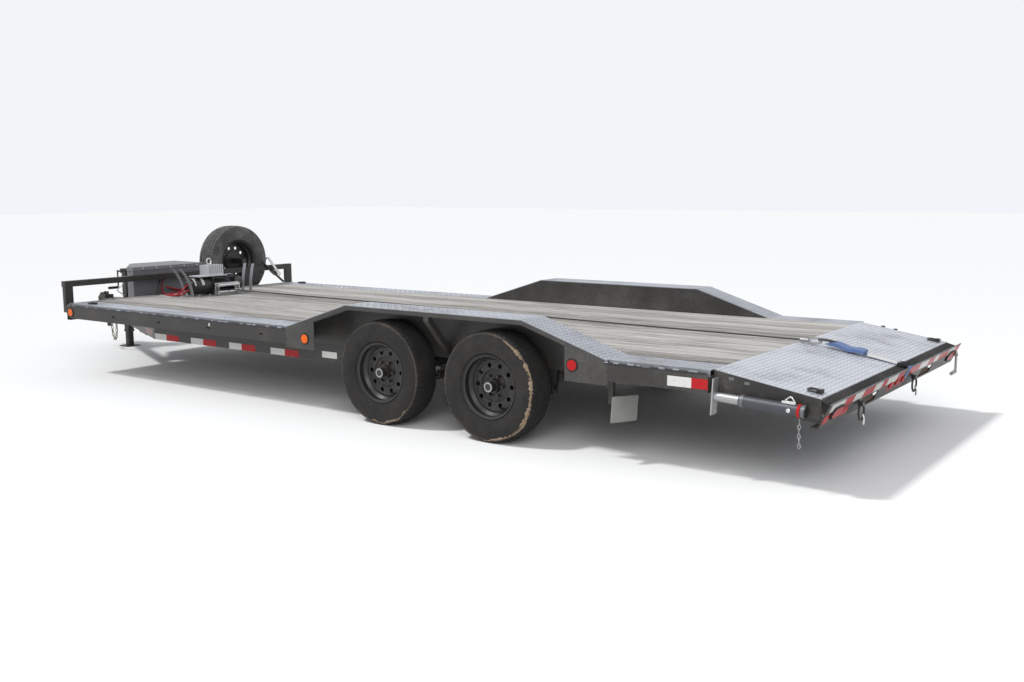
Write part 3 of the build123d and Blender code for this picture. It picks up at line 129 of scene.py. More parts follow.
class Shader:
    """One procedural material around a single Principled shader."""

    def __init__(self, name: str) -> None:
        """Starts an empty material with its shader and object coordinates."""
        self.material = bpy.data.materials.new(name)
        self.material.use_nodes = True
        self.tree = self.material.node_tree
        self.tree.nodes.clear()
        self.output = self.tree.nodes.new("ShaderNodeOutputMaterial")
        self.principled = self.tree.nodes.new("ShaderNodeBsdfPrincipled")
        self.tree.links.new(self.principled.outputs[0], self.output.inputs["Surface"])
        self.place = self.node("ShaderNodeTexCoord", output="Object")

    def node(
        self,
        kind: str,
        settings: Optional[dict[str, Any]] = None,
        inputs: Optional[dict[Union[str, int], Any]] = None,
        output: Union[str, int] = 0,
    ) -> Wire:
        """Adds a node, sets it up and fills its sockets.

        Args:
            kind: Node type.
            settings: Node properties set first; "stops" fills a colour ramp.
            inputs: Values or wires by socket name or number.
            output: Socket handed back.

        Returns:
            The wire from the chosen output.
        """
        made = self.tree.nodes.new(kind)
        for key, value in (settings or {}).items():
            if key == "stops":
                ramp = made.color_ramp
                while len(ramp.elements) < len(value):
                    ramp.elements.new(1.0)
                for element, (spot, colour) in zip(ramp.elements, value):
                    element.position = spot
                    element.color = (*colour, 1.0)
            else:
                setattr(made, key, value)
        for key, value in (inputs or {}).items():
            self.feed(made.inputs[key], value)
        return Wire(self, made.outputs[output])

    def feed(self, socket: bpy.types.NodeSocket, value: Any) -> None:
        """Links a wire to a socket or writes a value into it."""
        if isinstance(value, Wire):
            self.tree.links.new(value.socket, socket)
        elif isinstance(value, tuple) and len(value) == 3 and socket.type == "RGBA":
            socket.default_value = (*value, 1.0)
        else:
            socket.default_value = value

    def math(self, operation: str, *terms: Signal) -> Wire:
        """Adds a Math node over the given terms."""
        return self.node("ShaderNodeMath", {"operation": operation}, dict(enumerate(terms)))

    def axes(self) -> tuple[Wire, Wire, Wire]:
        """The object coordinates as three wires."""
        split = self.tree.nodes.new("ShaderNodeSeparateXYZ")
        self.tree.links.new(self.place.socket, split.inputs[0])
        return tuple(Wire(self, split.outputs[i]) for i in range(3))

    def stretched(self, x: Signal, y: Signal, z: Signal) -> Wire:
        """A vector made of three signals."""
        return self.node("ShaderNodeCombineXYZ", inputs={"X": x, "Y": y, "Z": z})

    def scaled(self, sx: float, sy: float, sz: float) -> Wire:
        """Object coordinates scaled along each axis."""
        return self.node("ShaderNodeMapping", inputs={"Vector": self.place, "Scale": (sx, sy, sz)})

    def noise(self, scale: float, detail: float = 4.0, vector: Optional[Wire] = None) -> Wire:
        """Fractal noise, about a half on average."""
        return self.node(
            "ShaderNodeTexNoise",
            inputs={"Vector": vector or self.place, "Scale": scale, "Detail": detail, "Roughness": 0.6},
        )

    def blend(self, factor: Signal, a: Any, b: Any) -> Wire:
        """Mixes two colours."""
        return self.node("ShaderNodeMix", {"data_type": "RGBA"}, {0: factor, 6: a, 7: b}, output=2)

    def ramp(self, value: Wire, stops: Sequence[tuple[float, Triple]]) -> Wire:
        """Colours a value by its stops."""
        return self.node("ShaderNodeValToRGB", {"stops": list(stops)}, {"Fac": value})

    def raise_surface(self, height: Wire, depth: float, strength: float) -> None:
        """Bumps the normal by a height signal of the given depth in metres."""
        bump = self.node("ShaderNodeBump", inputs={"Height": height, "Distance": depth, "Strength": strength})
        self.feed(self.principled.inputs["Normal"], bump)

    def set(self, **values: Any) -> None:
        """Fills Principled sockets; underscores stand for spaces."""
        for key, value in values.items():
            self.feed(self.principled.inputs[key.replace("_", " ")], value)


# Finishes


@dataclass(frozen=True)
class Finish:
    """A finish that dresses a Principled shader."""

    name: str
    colour: Triple
    roughness: float = 0.5
    metallic: float = 0.0

    def dress(self, shader: Shader) -> None:
        """Fills the shader; each kind of finish adds its own detail."""
        shader.set(Base_Color=self.colour)

    def shade(self, share: float) -> Triple:
        """The finish's colour, darkened to a share of itself."""
        return tuple(c * share for c in self.colour)

    def material(self) -> bpy.types.Material:
        """Builds the material once and hands back the same one afterwards."""
        found = bpy.data.materials.get(self.name)
        if found is None:
            shader = Shader(self.name)
            shader.set(Roughness=self.roughness, Metallic=self.metallic)
            self.dress(shader)
            found = shader.material
        return found


@dataclass(frozen=True)
class Paint(Finish):
    """Sprayed enamel with road dust in patches, fine speckle and a few rusted chips."""

    dust: Triple = (0.165, 0.15, 0.13)
    dust_amount: float = 0.5
    chips: float = 0.74
    chip_colour: Triple = (0.13, 0.055, 0.025)

    def dress(self, shader: Shader) -> None:
        """Mixes dust over the enamel by two scales of noise, then chips, then orange peel."""
        broad = shader.noise(2.2, 6.0)
        fine = shader.noise(70.0, 3.0)
        dust = (broad * 0.7 + fine * 0.3).smooth(0.62 - 0.3 * self.dust_amount, 0.86) * self.dust_amount
        chip = shader.noise(46.0, 5.0).smooth(self.chips, self.chips + 0.03)
        coat = shader.blend(dust, self.colour, self.dust)
        shader.set(
            Base_Color=shader.blend(chip, coat, self.chip_colour),
            Roughness=dust * 0.35 + fine * 0.12 + self.roughness + chip * 0.3,
        )
        shader.raise_surface(shader.noise(420.0, 2.0) * 0.4 + fine * 0.6 - chip, 0.0006, 0.35)


@dataclass(frozen=True)
class Planks(Finish):
    """Weathered planks laid along X, with grain, checks, stains and worn wheel tracks."""

    pitch: float = 0.1916
    edge: float = 1.054
    dark: Triple = (0.062, 0.056, 0.05)
    worn: Triple = (0.37, 0.35, 0.325)
    pale: Triple = (0.53, 0.51, 0.48)
    stain: Triple = (0.16, 0.145, 0.13)
    gap: Triple = (0.03, 0.026, 0.022)
    track: float = 0.74

    def dress(self, shader: Shader) -> None:
        """Grain is noise drawn out along X, shifted and tinted by each plank's own number."""
        x, y, z = shader.axes()
        lane = ((y + self.edge) / self.pitch).floor()
        chance = shader.node("ShaderNodeTexWhiteNoise", {"noise_dimensions": "1D"}, {"W": lane * 1.37 + 0.5})
        shift = chance * 43.0

        def drawn_out(detail: float, lengthwise: float, across: float, upright: float) -> Wire:
            place = shader.stretched(x * lengthwise + shift, y * across, z * upright)
            return shader.noise(1.0, detail, place)

        grain = drawn_out(9.0, 2.6, 62.0, 30.0)
        streak = drawn_out(4.0, 0.8, 17.0, 9.0)
        checks = drawn_out(6.0, 5.0, 260.0, 60.0)
        crack = checks.smooth(0.63, 0.69) * streak.smooth(0.45, 0.6)
        blotch = shader.noise(1.6, 6.0)
        track = 1 - abs(abs(y) - self.track).smooth(0.06, 0.26)
        fleck = drawn_out(3.0, 7.0, 48.0, 20.0).smooth(0.56, 0.7)
        tone = grain * 1.25 + streak * 0.85 + chance * 0.26 - 0.64
        stops = [(0.18, self.dark), (0.42, self.colour), (0.6, self.worn), (0.86, self.pale)]
        wood = shader.ramp(tone, stops)
        scuffed = shader.blend(track * blotch * 0.4 + fleck * 0.45, wood, self.pale)
        stained = shader.blend(blotch.smooth(0.56, 0.78) * 0.55, scuffed, self.stain)
        shader.set(
            Base_Color=shader.blend(crack * 0.85, stained, self.gap),
            Roughness=grain * 0.2 + 0.68,
        )
        shader.raise_surface(grain * 0.8 + streak * 0.3 - crack * 1.4, 0.003, 0.55)


@dataclass(frozen=True)
class WornPlate(Finish):
    """Steel plate rubbed bright by tyres, with grime in the low spots and streaks of wear."""

    grime: Triple = (0.10, 0.098, 0.095)

    def dress(self, shader: Shader) -> None:
        """Grime follows broad noise; fine scratches are noise drawn out along X."""
        broad = shader.noise(3.0, 6.0)
        scratch = shader.noise(1.0, 5.0, shader.scaled(7.0, 120.0, 60.0))
        speck = shader.noise(160.0, 2.0)
        grime = (broad * 0.65 + speck * 0.35).smooth(0.44, 0.72)
        shader.set(
            Base_Color=shader.blend(grime * 0.75, self.colour, self.grime),
            Roughness=self.roughness + scratch * 0.22 + grime * 0.18,
            Metallic=self.metallic - grime * 0.3,
        )
        shader.raise_surface(scratch * 0.5 + speck * 0.5, 0.0006, 0.4)


@dataclass(frozen=True)
class Rubber(Finish):
    """Aged rubber with dust in patches."""

    dust: Triple = (0.13, 0.108, 0.086)
    dust_amount: float = 0.55

    def dress(self, shader: Shader) -> None:
        """Dust is two scales of noise over black, with a fine pebbled bump."""
        broad = shader.noise(5.0, 6.0)
        fine = shader.noise(120.0, 3.0)
        dust = (broad * 0.55 + fine * 0.45).smooth(0.4, 0.78) * self.dust_amount
        shader.set(
            Base_Color=shader.blend(dust, self.colour, self.dust),
            Roughness=self.roughness + dust * 0.2,
            Specular_IOR_Level=0.22,
        )
        shader.raise_surface(fine, 0.0005, 0.5)


@dataclass(frozen=True)
class Steel(Finish):
    """Bare or plated steel with faint spangle, smears and rust spots."""

    rust: float = 0.7
    rust_colour: Triple = (0.17, 0.075, 0.03)

    def dress(self, shader: Shader) -> None:
        """Spangle is a cell pattern that shifts roughness; rust is thresholded noise."""
        cells = shader.node(
            "ShaderNodeTexVoronoi", inputs={"Vector": shader.place, "Scale": 90.0}, output="Distance"
        )
        smear = shader.noise(9.0, 6.0)
        rust = shader.noise(30.0, 7.0).smooth(self.rust, self.rust + 0.1)
        tone = shader.blend(smear, self.colour, self.shade(0.72))
        shader.set(
            Base_Color=shader.blend(rust, tone, self.rust_colour),
            Roughness=self.roughness + cells * 0.15 + smear * 0.12 + rust * 0.3,
            Metallic=self.metallic - rust * self.metallic,
        )
        shader.raise_surface(smear * 0.5 + shader.noise(240.0, 2.0) * 0.5, 0.0005, 0.3)


@dataclass(frozen=True)
class Lens(Finish):
    """Moulded lamp lens: fine vertical flutes under a glossy face."""

    flute: float = 0.004

    def dress(self, shader: Shader) -> None:
        """Flutes are a triangle wave along X plus Y; the colour glows faintly."""
        x, y, z = shader.axes()
        wave = (x + y).wave(self.flute)
        ring = z.wave(self.flute)
        shader.set(
            Base_Color=shader.blend(wave * 0.7, self.colour, self.shade(0.55)),
            Coat_Weight=0.15,
            Specular_IOR_Level=0.2,
            Emission_Color=self.colour,
            Emission_Strength=0.03,
        )
        shader.raise_surface(wave + ring * 0.5, 0.0006, 0.5)


@dataclass(frozen=True)
class Webbing(Finish):
    """Woven strap: ribs across its width and finer ones along it, faded in patches."""

    stripe: Triple = (0.55, 0.57, 0.6)
    ribs: float = 0.0032

    def dress(self, shader: Shader) -> None:
        """Ribs are a triangle wave along X plus Z crossed by a finer one along Y."""
        x, y, z = shader.axes()
        across = (x + z).wave(self.ribs)
        along = y.wave(self.ribs * 0.5)
        weave = across * 1.2 + along * 0.6
        fade = shader.noise(14.0, 5.0)
        cloth = shader.blend(fade * 0.5, self.colour, self.shade(0.6))
        shader.set(Base_Color=shader.blend(weave * 0.35, cloth, self.stripe))
        shader.raise_surface(weave, 0.0008, 0.6)


@dataclass(frozen=True)
class Reflector(Finish):
    """Reflective tape: a fine diagonal lattice under a clear face, a little scuffed."""

    cell: float = 0.006

    def dress(self, shader: Shader) -> None:
        """The lattice is two triangle waves along the diagonals of the tape."""
        x, y, z = shader.axes()
        run = x + y
        one = (run + z).wave(self.cell)
        two = (run - z).wave(self.cell)
        lattice = (one + two).smooth(0.1, 0.35)
        scuff = shader.noise(60.0, 5.0).smooth(0.55, 0.75)
        face = shader.blend(lattice * 0.35, self.shade(0.8), self.colour)
        shader.set(
            Base_Color=shader.blend(scuff * 0.3, face, (0.12, 0.1, 0.085)),
            Specular_IOR_Level=0.08,
            Roughness=self.roughness + scuff * 0.3,
            Coat_Weight=0.3,
        )
        shader.raise_surface(lattice - scuff * 0.4, 0.0003, 0.3)


class Coat(Enum):
    """The finishes of the trailer by what they cover."""

    FRAME = Paint("frame_black", (0.021, 0.0185, 0.0165), 0.34, dust_amount=0.5)
    UNDERSIDE = Paint("underside_black", (0.016, 0.015, 0.014), 0.5, dust_amount=0.7, chips=0.68)
    TOOLBOX = Paint("toolbox_grey", (0.14, 0.14, 0.15), 0.4, dust_amount=0.5, chips=0.8)
    FENDER = Paint("fender_black", (0.028, 0.026, 0.024), 0.34, dust=(0.15, 0.142, 0.128), dust_amount=0.72)
    WHEEL = Paint("wheel_black", (0.017, 0.0155, 0.015), 0.33, dust_amount=0.5, dust=(0.12, 0.105, 0.09))
    DRUM = Paint("drum_rust", (0.075, 0.05, 0.035), 0.65, metallic=0.4, dust_amount=0.5, chips=0.55)
    WINCH_BLACK = Paint("winch_black", (0.014, 0.014, 0.015), 0.32, dust_amount=0.3, chips=0.82)
    WINCH_GREY = Paint("winch_grey", (0.27, 0.275, 0.29), 0.34, metallic=0.4, dust_amount=0.35, chips=0.8)
    WINCH_SILVER = Steel("winch_silver", (0.66, 0.67, 0.69), 0.22, 0.85, rust=0.88)
    DECK = Planks("deck_planks_grey", (0.215, 0.2, 0.184), 0.8)
    PLATE = WornPlate("tread_worn", (0.33, 0.345, 0.375), 0.36, 0.5)
    # Dovetail plate and lugs: lighter copies of the tread finishes, painted sunlight reflected off the
    # rear-facing slope.
    SLOPE = WornPlate("tread_painted_sunlit", (0.47, 0.485, 0.52), 0.32, 0.5)
    SLOPE_LUG = WornPlate("tread_lug_painted_sunlit", (0.72, 0.74, 0.78), 0.26, 0.65, grime=(0.26, 0.26, 0.27))
    LUG = WornPlate("tread_lug_bright", (0.56, 0.58, 0.62), 0.28, 0.7, grime=(0.2, 0.2, 0.2))
    TYRE = Rubber("tyre_black", (0.0155, 0.015, 0.0148), 0.72, dust=(0.07, 0.06, 0.052), dust_amount=0.6)
    SPARE_TYRE = Rubber("tyre_dusty", (0.055, 0.055, 0.056), 0.6, dust=(0.32, 0.31, 0.3), dust_amount=0.9)
    SCUFF = Rubber("tyre_scuffed", (0.035, 0.031, 0.028), 0.9, dust=(0.17, 0.14, 0.11), dust_amount=0.9)
    RUBBER = Rubber("rubber_black", (0.013, 0.013, 0.013), 0.55, dust_amount=0.3)
    RED_CABLE = Rubber("cable_red", (0.34, 0.018, 0.026), 0.42, dust=(0.3, 0.12, 0.1), dust_amount=0.35)
    SPRING = Paint("spring_dull", (0.032, 0.026, 0.021), 0.6, metallic=0.3, dust_amount=0.7, chips=0.6)
    JACK = Paint("jack_dark", (0.028, 0.025, 0.023), 0.42, metallic=0.3, dust_amount=0.6, chips=0.62)
    ZINC = Steel("zinc_plate", (0.42, 0.42, 0.42), 0.36, 0.8, rust=0.72)
    JACK_TUBE = Steel("jack_tube_dull", (0.085, 0.088, 0.1), 0.36, 0.7, rust=0.78)
    GALVANISED = Steel("galvanised_tube", (0.17, 0.178, 0.19), 0.36, 0.75, rust=0.78)
    BRIGHT = Steel("bright_steel", (0.62, 0.62, 0.62), 0.2, 0.95, rust=0.88)
    CHAIN = Steel("chain_dull_zinc", (0.33, 0.3, 0.235), 0.42, 0.7, rust=0.52)
    ROPE = Webbing("rope_dark", (0.022, 0.023, 0.027), 0.8, stripe=(0.08, 0.085, 0.09), ribs=0.006)
    STRAP = Webbing("strap_blue", (0.035, 0.1, 0.3), 0.75)
    AMBER = Lens("lens_amber", (0.75, 0.125, 0.002), 0.2)
    RED = Lens("lens_red", (0.4, 0.003, 0.006), 0.3)
    TAPE_WHITE = Reflector("tape_white", (0.66, 0.66, 0.63), 0.4)
    TAPE_RED = Reflector("tape_red", (0.44, 0.008, 0.01), 0.4)
    TAPE_FADED = Reflector("tape_faded", (0.3, 0.13, 0.1), 0.45)
    TORN = Rubber("torn_tread", (0.2, 0.145, 0.095), 0.92, dust=(0.42, 0.33, 0.24), dust_amount=0.9)
    NUMBER = Paint(
        "number_plate_dull", (0.32, 0.32, 0.3), 0.4, dust_amount=0.7, dust=(0.17, 0.15, 0.13), chips=0.8
    )
    NUT_RUST = Paint("nut_rust", (0.05, 0.039, 0.032), 0.7, metallic=0.3, dust_amount=0.4)
    TAG = Paint("tag_white", (0.6, 0.6, 0.57), 0.35, dust_amount=0.35, dust=(0.36, 0.33, 0.28), chips=0.8)

    def material(self) -> bpy.types.Material:
        """The material of this finish."""
        return self.value.material()


# Surfaces as whole arrays

SHARP = math.radians(40)


class Surface:
    """Points and faces gathered as whole arrays, then made into one mesh."""

    def __init__(self) -> None:
        """Starts with nothing."""
        self.points: list[np.ndarray] = []
        self.faces: list[np.ndarray] = []
        self.count = 0

    def add(self, points: np.ndarray, *faces: np.ndarray) -> "Surface":
        """Adds points and one or more face tables that number them from zero.

        Args:
            points: Array of shape (n, 3).
            faces: Integer arrays of shape (k, sides).

        Returns:
            This surface.
        """
        self.points.append(np.asarray(points, float).reshape(-1, 3))
        self.faces += [np.asarray(f, int) + self.count for f in faces]
        self.count += len(self.points[-1])
        return self

    def grid(
        self, points: np.ndarray, wrap_rows: bool = False, wrap_columns: bool = False, caps: bool = False
    ) -> "Surface":
        """Adds a grid of points joined by quads.

        A quad joins each point to the next one along its row and to both of theirs in the next row.

        Args:
            points: Array of shape (rows, columns, 3).
            wrap_rows: Joins the last row to the first.
            wrap_columns: Joins the last column to the first.
            caps: Closes the first and last row, each with one face.

        Returns:
            This surface.
        """
        rows, columns = points.shape[:2]
        i, j = np.meshgrid(
            np.arange(rows if wrap_rows else rows - 1),
            np.arange(columns if wrap_columns else columns - 1),
            indexing="ij",
        )
        down, right = (i + 1) % rows, (j + 1) % columns
        here, below = i * columns, down * columns
        quads = np.stack([here + j, here + right, below + right, below + j], -1)
        tables = [quads.reshape(-1, 4)]
        if caps:
            tables += [np.arange(columns)[None, ::-1], (rows - 1) * columns + np.arange(columns)[None, :]]
        return self.add(points, *tables)

    def boxes(self, low: Sequence[Triple], high: Sequence[Triple]) -> "Surface":
        """Adds straight boxes between pairs of corners, all at once."""
        low_corner, high_corner = np.atleast_2d(low).astype(float), np.atleast_2d(high).astype(float)
        pick = np.array([[a, b, c] for a in (0, 1) for b in (0, 1) for c in (0, 1)])
        points = np.where(pick[None], high_corner[:, None], low_corner[:, None])
        quads = np.array([[0, 1, 3, 2], [4, 6, 7, 5], [0, 4, 5, 1], [2, 3, 7, 6], [0, 2, 6, 4], [1, 5, 7, 3]])
        table = quads[None] + 8 * np.arange(len(points))[:, None, None]
        return self.add(points, table.reshape(-1, 4))

    def revolve(
        self,
        profile: Pairs,
        centre: Sequence[float] = (0, 0, 0),
        axis: Sequence[float] = (0, 0, 1),
        segments: int = 48,
        closed: bool = False,
    ) -> "Surface":
        """Turns a profile of (radius, distance along the axis) once round the axis.

        The point at angle t is centre + axis * distance + radius * (cos t * side + sin t * up).

        Args:
            profile: Radius and distance pairs, in order.
            centre: Point on the axis at distance zero.
            axis: Direction of the axis.
            segments: Steps round the axis.
            closed: Joins the profile's ends; otherwise flat faces close them.

        Returns:
            This surface.
        """
        along = unit(axis)
        side, up = square_to(along)
        angle = np.linspace(0, 2 * np.pi, segments, endpoint=False)
        ring = np.cos(angle)[:, None] * side + np.sin(angle)[:, None] * up
        radius, distance = np.array(profile, float).T
        points = np.array(centre) + distance[:, None, None] * along + radius[:, None, None] * ring[None]
        return self.grid(points, wrap_rows=closed, wrap_columns=True, caps=not closed)

    def tube(
        self, path: Sequence[Triple], radius: Union[float, np.ndarray], sides: int = 10, closed: bool = False
    ) -> "Surface":
        """Carries a circle along a path: centre plus radius times the turning side and up."""
        path = np.array(path, float)
        angle = np.linspace(0, 2 * np.pi, sides, endpoint=False)
        side, up = path_frame(path, closed)
        reach = np.broadcast_to(radius, len(path))[:, None, None]
        ring = np.cos(angle)[None, :, None] * side[:, None] + np.sin(angle)[None, :, None] * up[:, None]
        return self.grid(path[:, None] + reach * ring, wrap_rows=closed, wrap_columns=True, caps=not closed)

    def band(self, path: np.ndarray, width: float, thickness: float, across: Triple) -> "Surface":
        """Carries a flat bar along a path, its width along a fixed direction."""
        wide = unit(across)
        ahead = np.gradient(path, axis=0)
        out = np.cross(ahead, wide)
        out /= np.linalg.norm(out, axis=1)[:, None]
        corner = np.array([[-1, -1], [1, -1], [1, 1], [-1, 1]]) / 2
        section = corner[None, :, :1] * width * wide + corner[None, :, 1:] * thickness * out[:, None]
        return self.grid(path[:, None] + section, wrap_columns=True, caps=True)

    def scatter(
        self, piece: "Surface", origins: Sequence[Triple], frames: Optional[np.ndarray] = None
    ) -> "Surface":
        """Adds a copy of a small surface at each origin.

        A copy's point is its origin plus the template's point read in its own three axes.

        Args:
            piece: The template, around zero.
            origins: Array of shape (k, 3).
            frames: Array of shape (k, 3, 3) whose rows are the copy's axes; none leaves it unturned.

        Returns:
            This surface.
        """
        origins = np.asarray(origins, float).reshape(-1, 3)
        template = np.concatenate(piece.points)
        if frames is None:
            frames = np.broadcast_to(np.eye(3), (len(origins), 3, 3))
        points = origins[:, None] + np.einsum("pa,kab->kpb", template, frames)
        step = len(template) * np.arange(len(origins))[:, None, None]
        tables = [(face[None] + step).reshape(-1, face.shape[1]) for face in piece.faces]
        return self.add(points, *tables)

    def heads(self, spots: Sequence[Triple], direction: Triple, radius: float, height: float) -> "Surface":
        """Adds a hexagonal head at each spot, standing along a direction."""
        return self.scatter(hexagon(radius, height), spots, facing(direction, len(spots)))

    def make(
        self, name: str, coat: Coat, slot: str, body: str = "trailer", smooth: bool = True, bevel: float = 0.0
    ) -> bpy.types.Object:
        """Makes the mesh object, dresses it and lets it ride on its body.

        Args:
            name: Object name.
            coat: Finish.
            slot: Material slot of the record; not used.
            body: CAD body it moves with.
            smooth: Shades smoothly, with edges over 40 degrees kept sharp.
            bevel: Width of a bevel on the sharp edges; zero for none.

        Returns:
            The object.
        """
        points = np.concatenate(self.points)
        sizes = np.concatenate([np.full(len(f), f.shape[1]) for f in self.faces])
        mesh = bpy.data.meshes.new(name)
        mesh.vertices.add(len(points))
        mesh.vertices.foreach_set("co", points.astype(np.float32).ravel())
        corners = np.concatenate([f.ravel() for f in self.faces])
        mesh.loops.add(len(corners))
        mesh.loops.foreach_set("vertex_index", corners.astype(np.int32))
        mesh.polygons.add(len(sizes))
        mesh.polygons.foreach_set("loop_start", np.concatenate([[0], np.cumsum(sizes)[:-1]]).astype(np.int32))
        mesh.polygons.foreach_set("use_smooth", np.full(len(sizes), smooth))
        mesh.update(calc_edges=True)
        mesh.validate()
        mesh.materials.append(coat.material())
        made = placed(name, mesh)
        if bevel:
            edge = made.modifiers.new("edge", "BEVEL")
            edge.width, edge.segments, edge.limit_method = bevel, 2, "ANGLE"
            edge.angle_limit = SHARP
        if smooth:
            mesh.set_sharp_from_angle(angle=SHARP)
        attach(made, body)
        LOG.info("%s: %d faces on %s", name, len(sizes), body)
        return made


def placed(name: str, data: bpy.types.ID) -> bpy.types.Object:
    """Makes an object of some data and puts it in the scene."""
    made = bpy.data.objects.new(name, data)
    bpy.context.scene.collection.objects.link(made)
    return made


def unit(vector: Sequence[float]) -> np.ndarray:
    """The vector at length one."""
    vector = np.array(vector, float)
    return vector / np.linalg.norm(vector)


def square_to(along: np.ndarray) -> tuple[np.ndarray, np.ndarray]:
    """Two directions square to a third, in right-handed order."""
    helper = np.array([0.0, 0.0, 1.0]) if abs(along[2]) < 0.9 else np.array([1.0, 0.0, 0.0])
    side = unit(np.cross(helper, along))
    return side, np.cross(along, side)


def path_frame(path: np.ndarray, closed: bool = False) -> tuple[np.ndarray, np.ndarray]:
    """Side and up directions along a path, both square to its run.

    The run is the difference between each point's neighbours; side is its cross product with the
    direction that the whole path varies least in, and up is their cross product.
    """
    ahead = np.roll(path, -1, 0) - np.roll(path, 1, 0) if closed else np.gradient(path, axis=0)
    ahead /= np.linalg.norm(ahead, axis=1)[:, None]
    least = np.linalg.svd(ahead, full_matrices=True)[2][-1]
    side = np.cross(ahead, least)
    side /= np.linalg.norm(side, axis=1)[:, None]
    return side, np.cross(side, ahead)


def curve_through(points: Sequence[Triple], steps: int = 12) -> np.ndarray:
    """A smooth path through points.

    Each span is the cubic whose ends pass through two points and whose slopes are half the
    difference between their neighbours.

    Args:
        points: Points on the path.
        steps: Samples in each span.

    Returns:
        Array of shape (n, 3).
    """
    fixed = np.array(points, float)
    padded = np.vstack([2 * fixed[0] - fixed[1], fixed, 2 * fixed[-1] - fixed[-2]])
    t = np.linspace(0, 1, steps, endpoint=False)[None, :, None]
    a, b, c, d = (padded[i : len(padded) - 3 + i, None] for i in range(4))
    span = 0.5 * (2 * b + (c - a) * t + (2 * a - 5 * b + 4 * c - d) * t**2 + (3 * b - a - 3 * c + d) * t**3)
    return np.vstack([span.reshape(-1, 3), fixed[-1]])


def hexagon(radius: float, height: float) -> Surface:
    """A hexagonal head that stands on z = 0."""
    angle = np.arange(6) * np.pi / 3
    ring = np.stack([np.cos(angle), np.sin(angle), 0 * angle], -1)
    levels = [(1.0, 0.0), (1.0, 0.8), (0.88, 1.0)]
    rows = [ring * radius * r + np.array([0, 0, height * h]) for r, h in levels]
    return Surface().grid(np.stack(rows), wrap_columns=True, caps=True)


def facing(direction: Triple, count: int) -> np.ndarray:
    """Frames for scatter that point a template's Z axis along one direction."""
    along = unit(direction)
    side, up = square_to(along)
    return np.broadcast_to(np.stack([side, up, along]), (count, 3, 3))


def turned(point: Sequence[float], centre: Sequence[float], count: int, start: float = 0.0) -> np.ndarray:
    """Copies a point round the Y axis through a centre, evenly spaced.

    Args:
        point: The point.
        centre: Point on the axis.
        count: Number of copies.
        start: Angle of the first, in radians.

    Returns:
        Array of shape (count, 3).
    """
    spins = [np.array(Matrix.Rotation(start + i * 2 * math.pi / count, 3, "Y")) for i in range(count)]
    return np.array(centre) + np.einsum("kab,b->ka", np.stack(spins), np.array(point) - np.array(centre))


# Places read from the frame

TONGUE_TIP_HALF = 0.06
TONGUE_BEND = 1.73825
BUMPER_LEAN = np.array([-0.062, 0, 0.132])


def low(node: str) -> np.ndarray:
    """Lowest corner of a CAD node."""
    return np.array(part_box(node)[0])


def high(node: str) -> np.ndarray:
    """Highest corner of a CAD node."""
    return np.array(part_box(node)[1])


def middle(node: str) -> np.ndarray:
    """Middle of a CAD node's box."""
    return (low(node) + high(node)) / 2


def tongue_slope() -> float:
    """How far the tongue's under rails spread for each metre back from the coupler."""
    tip = high("tongue_rails")
    return (tip[1] - TONGUE_TIP_HALF) / (tip[0] - TONGUE_BEND)


# Studio


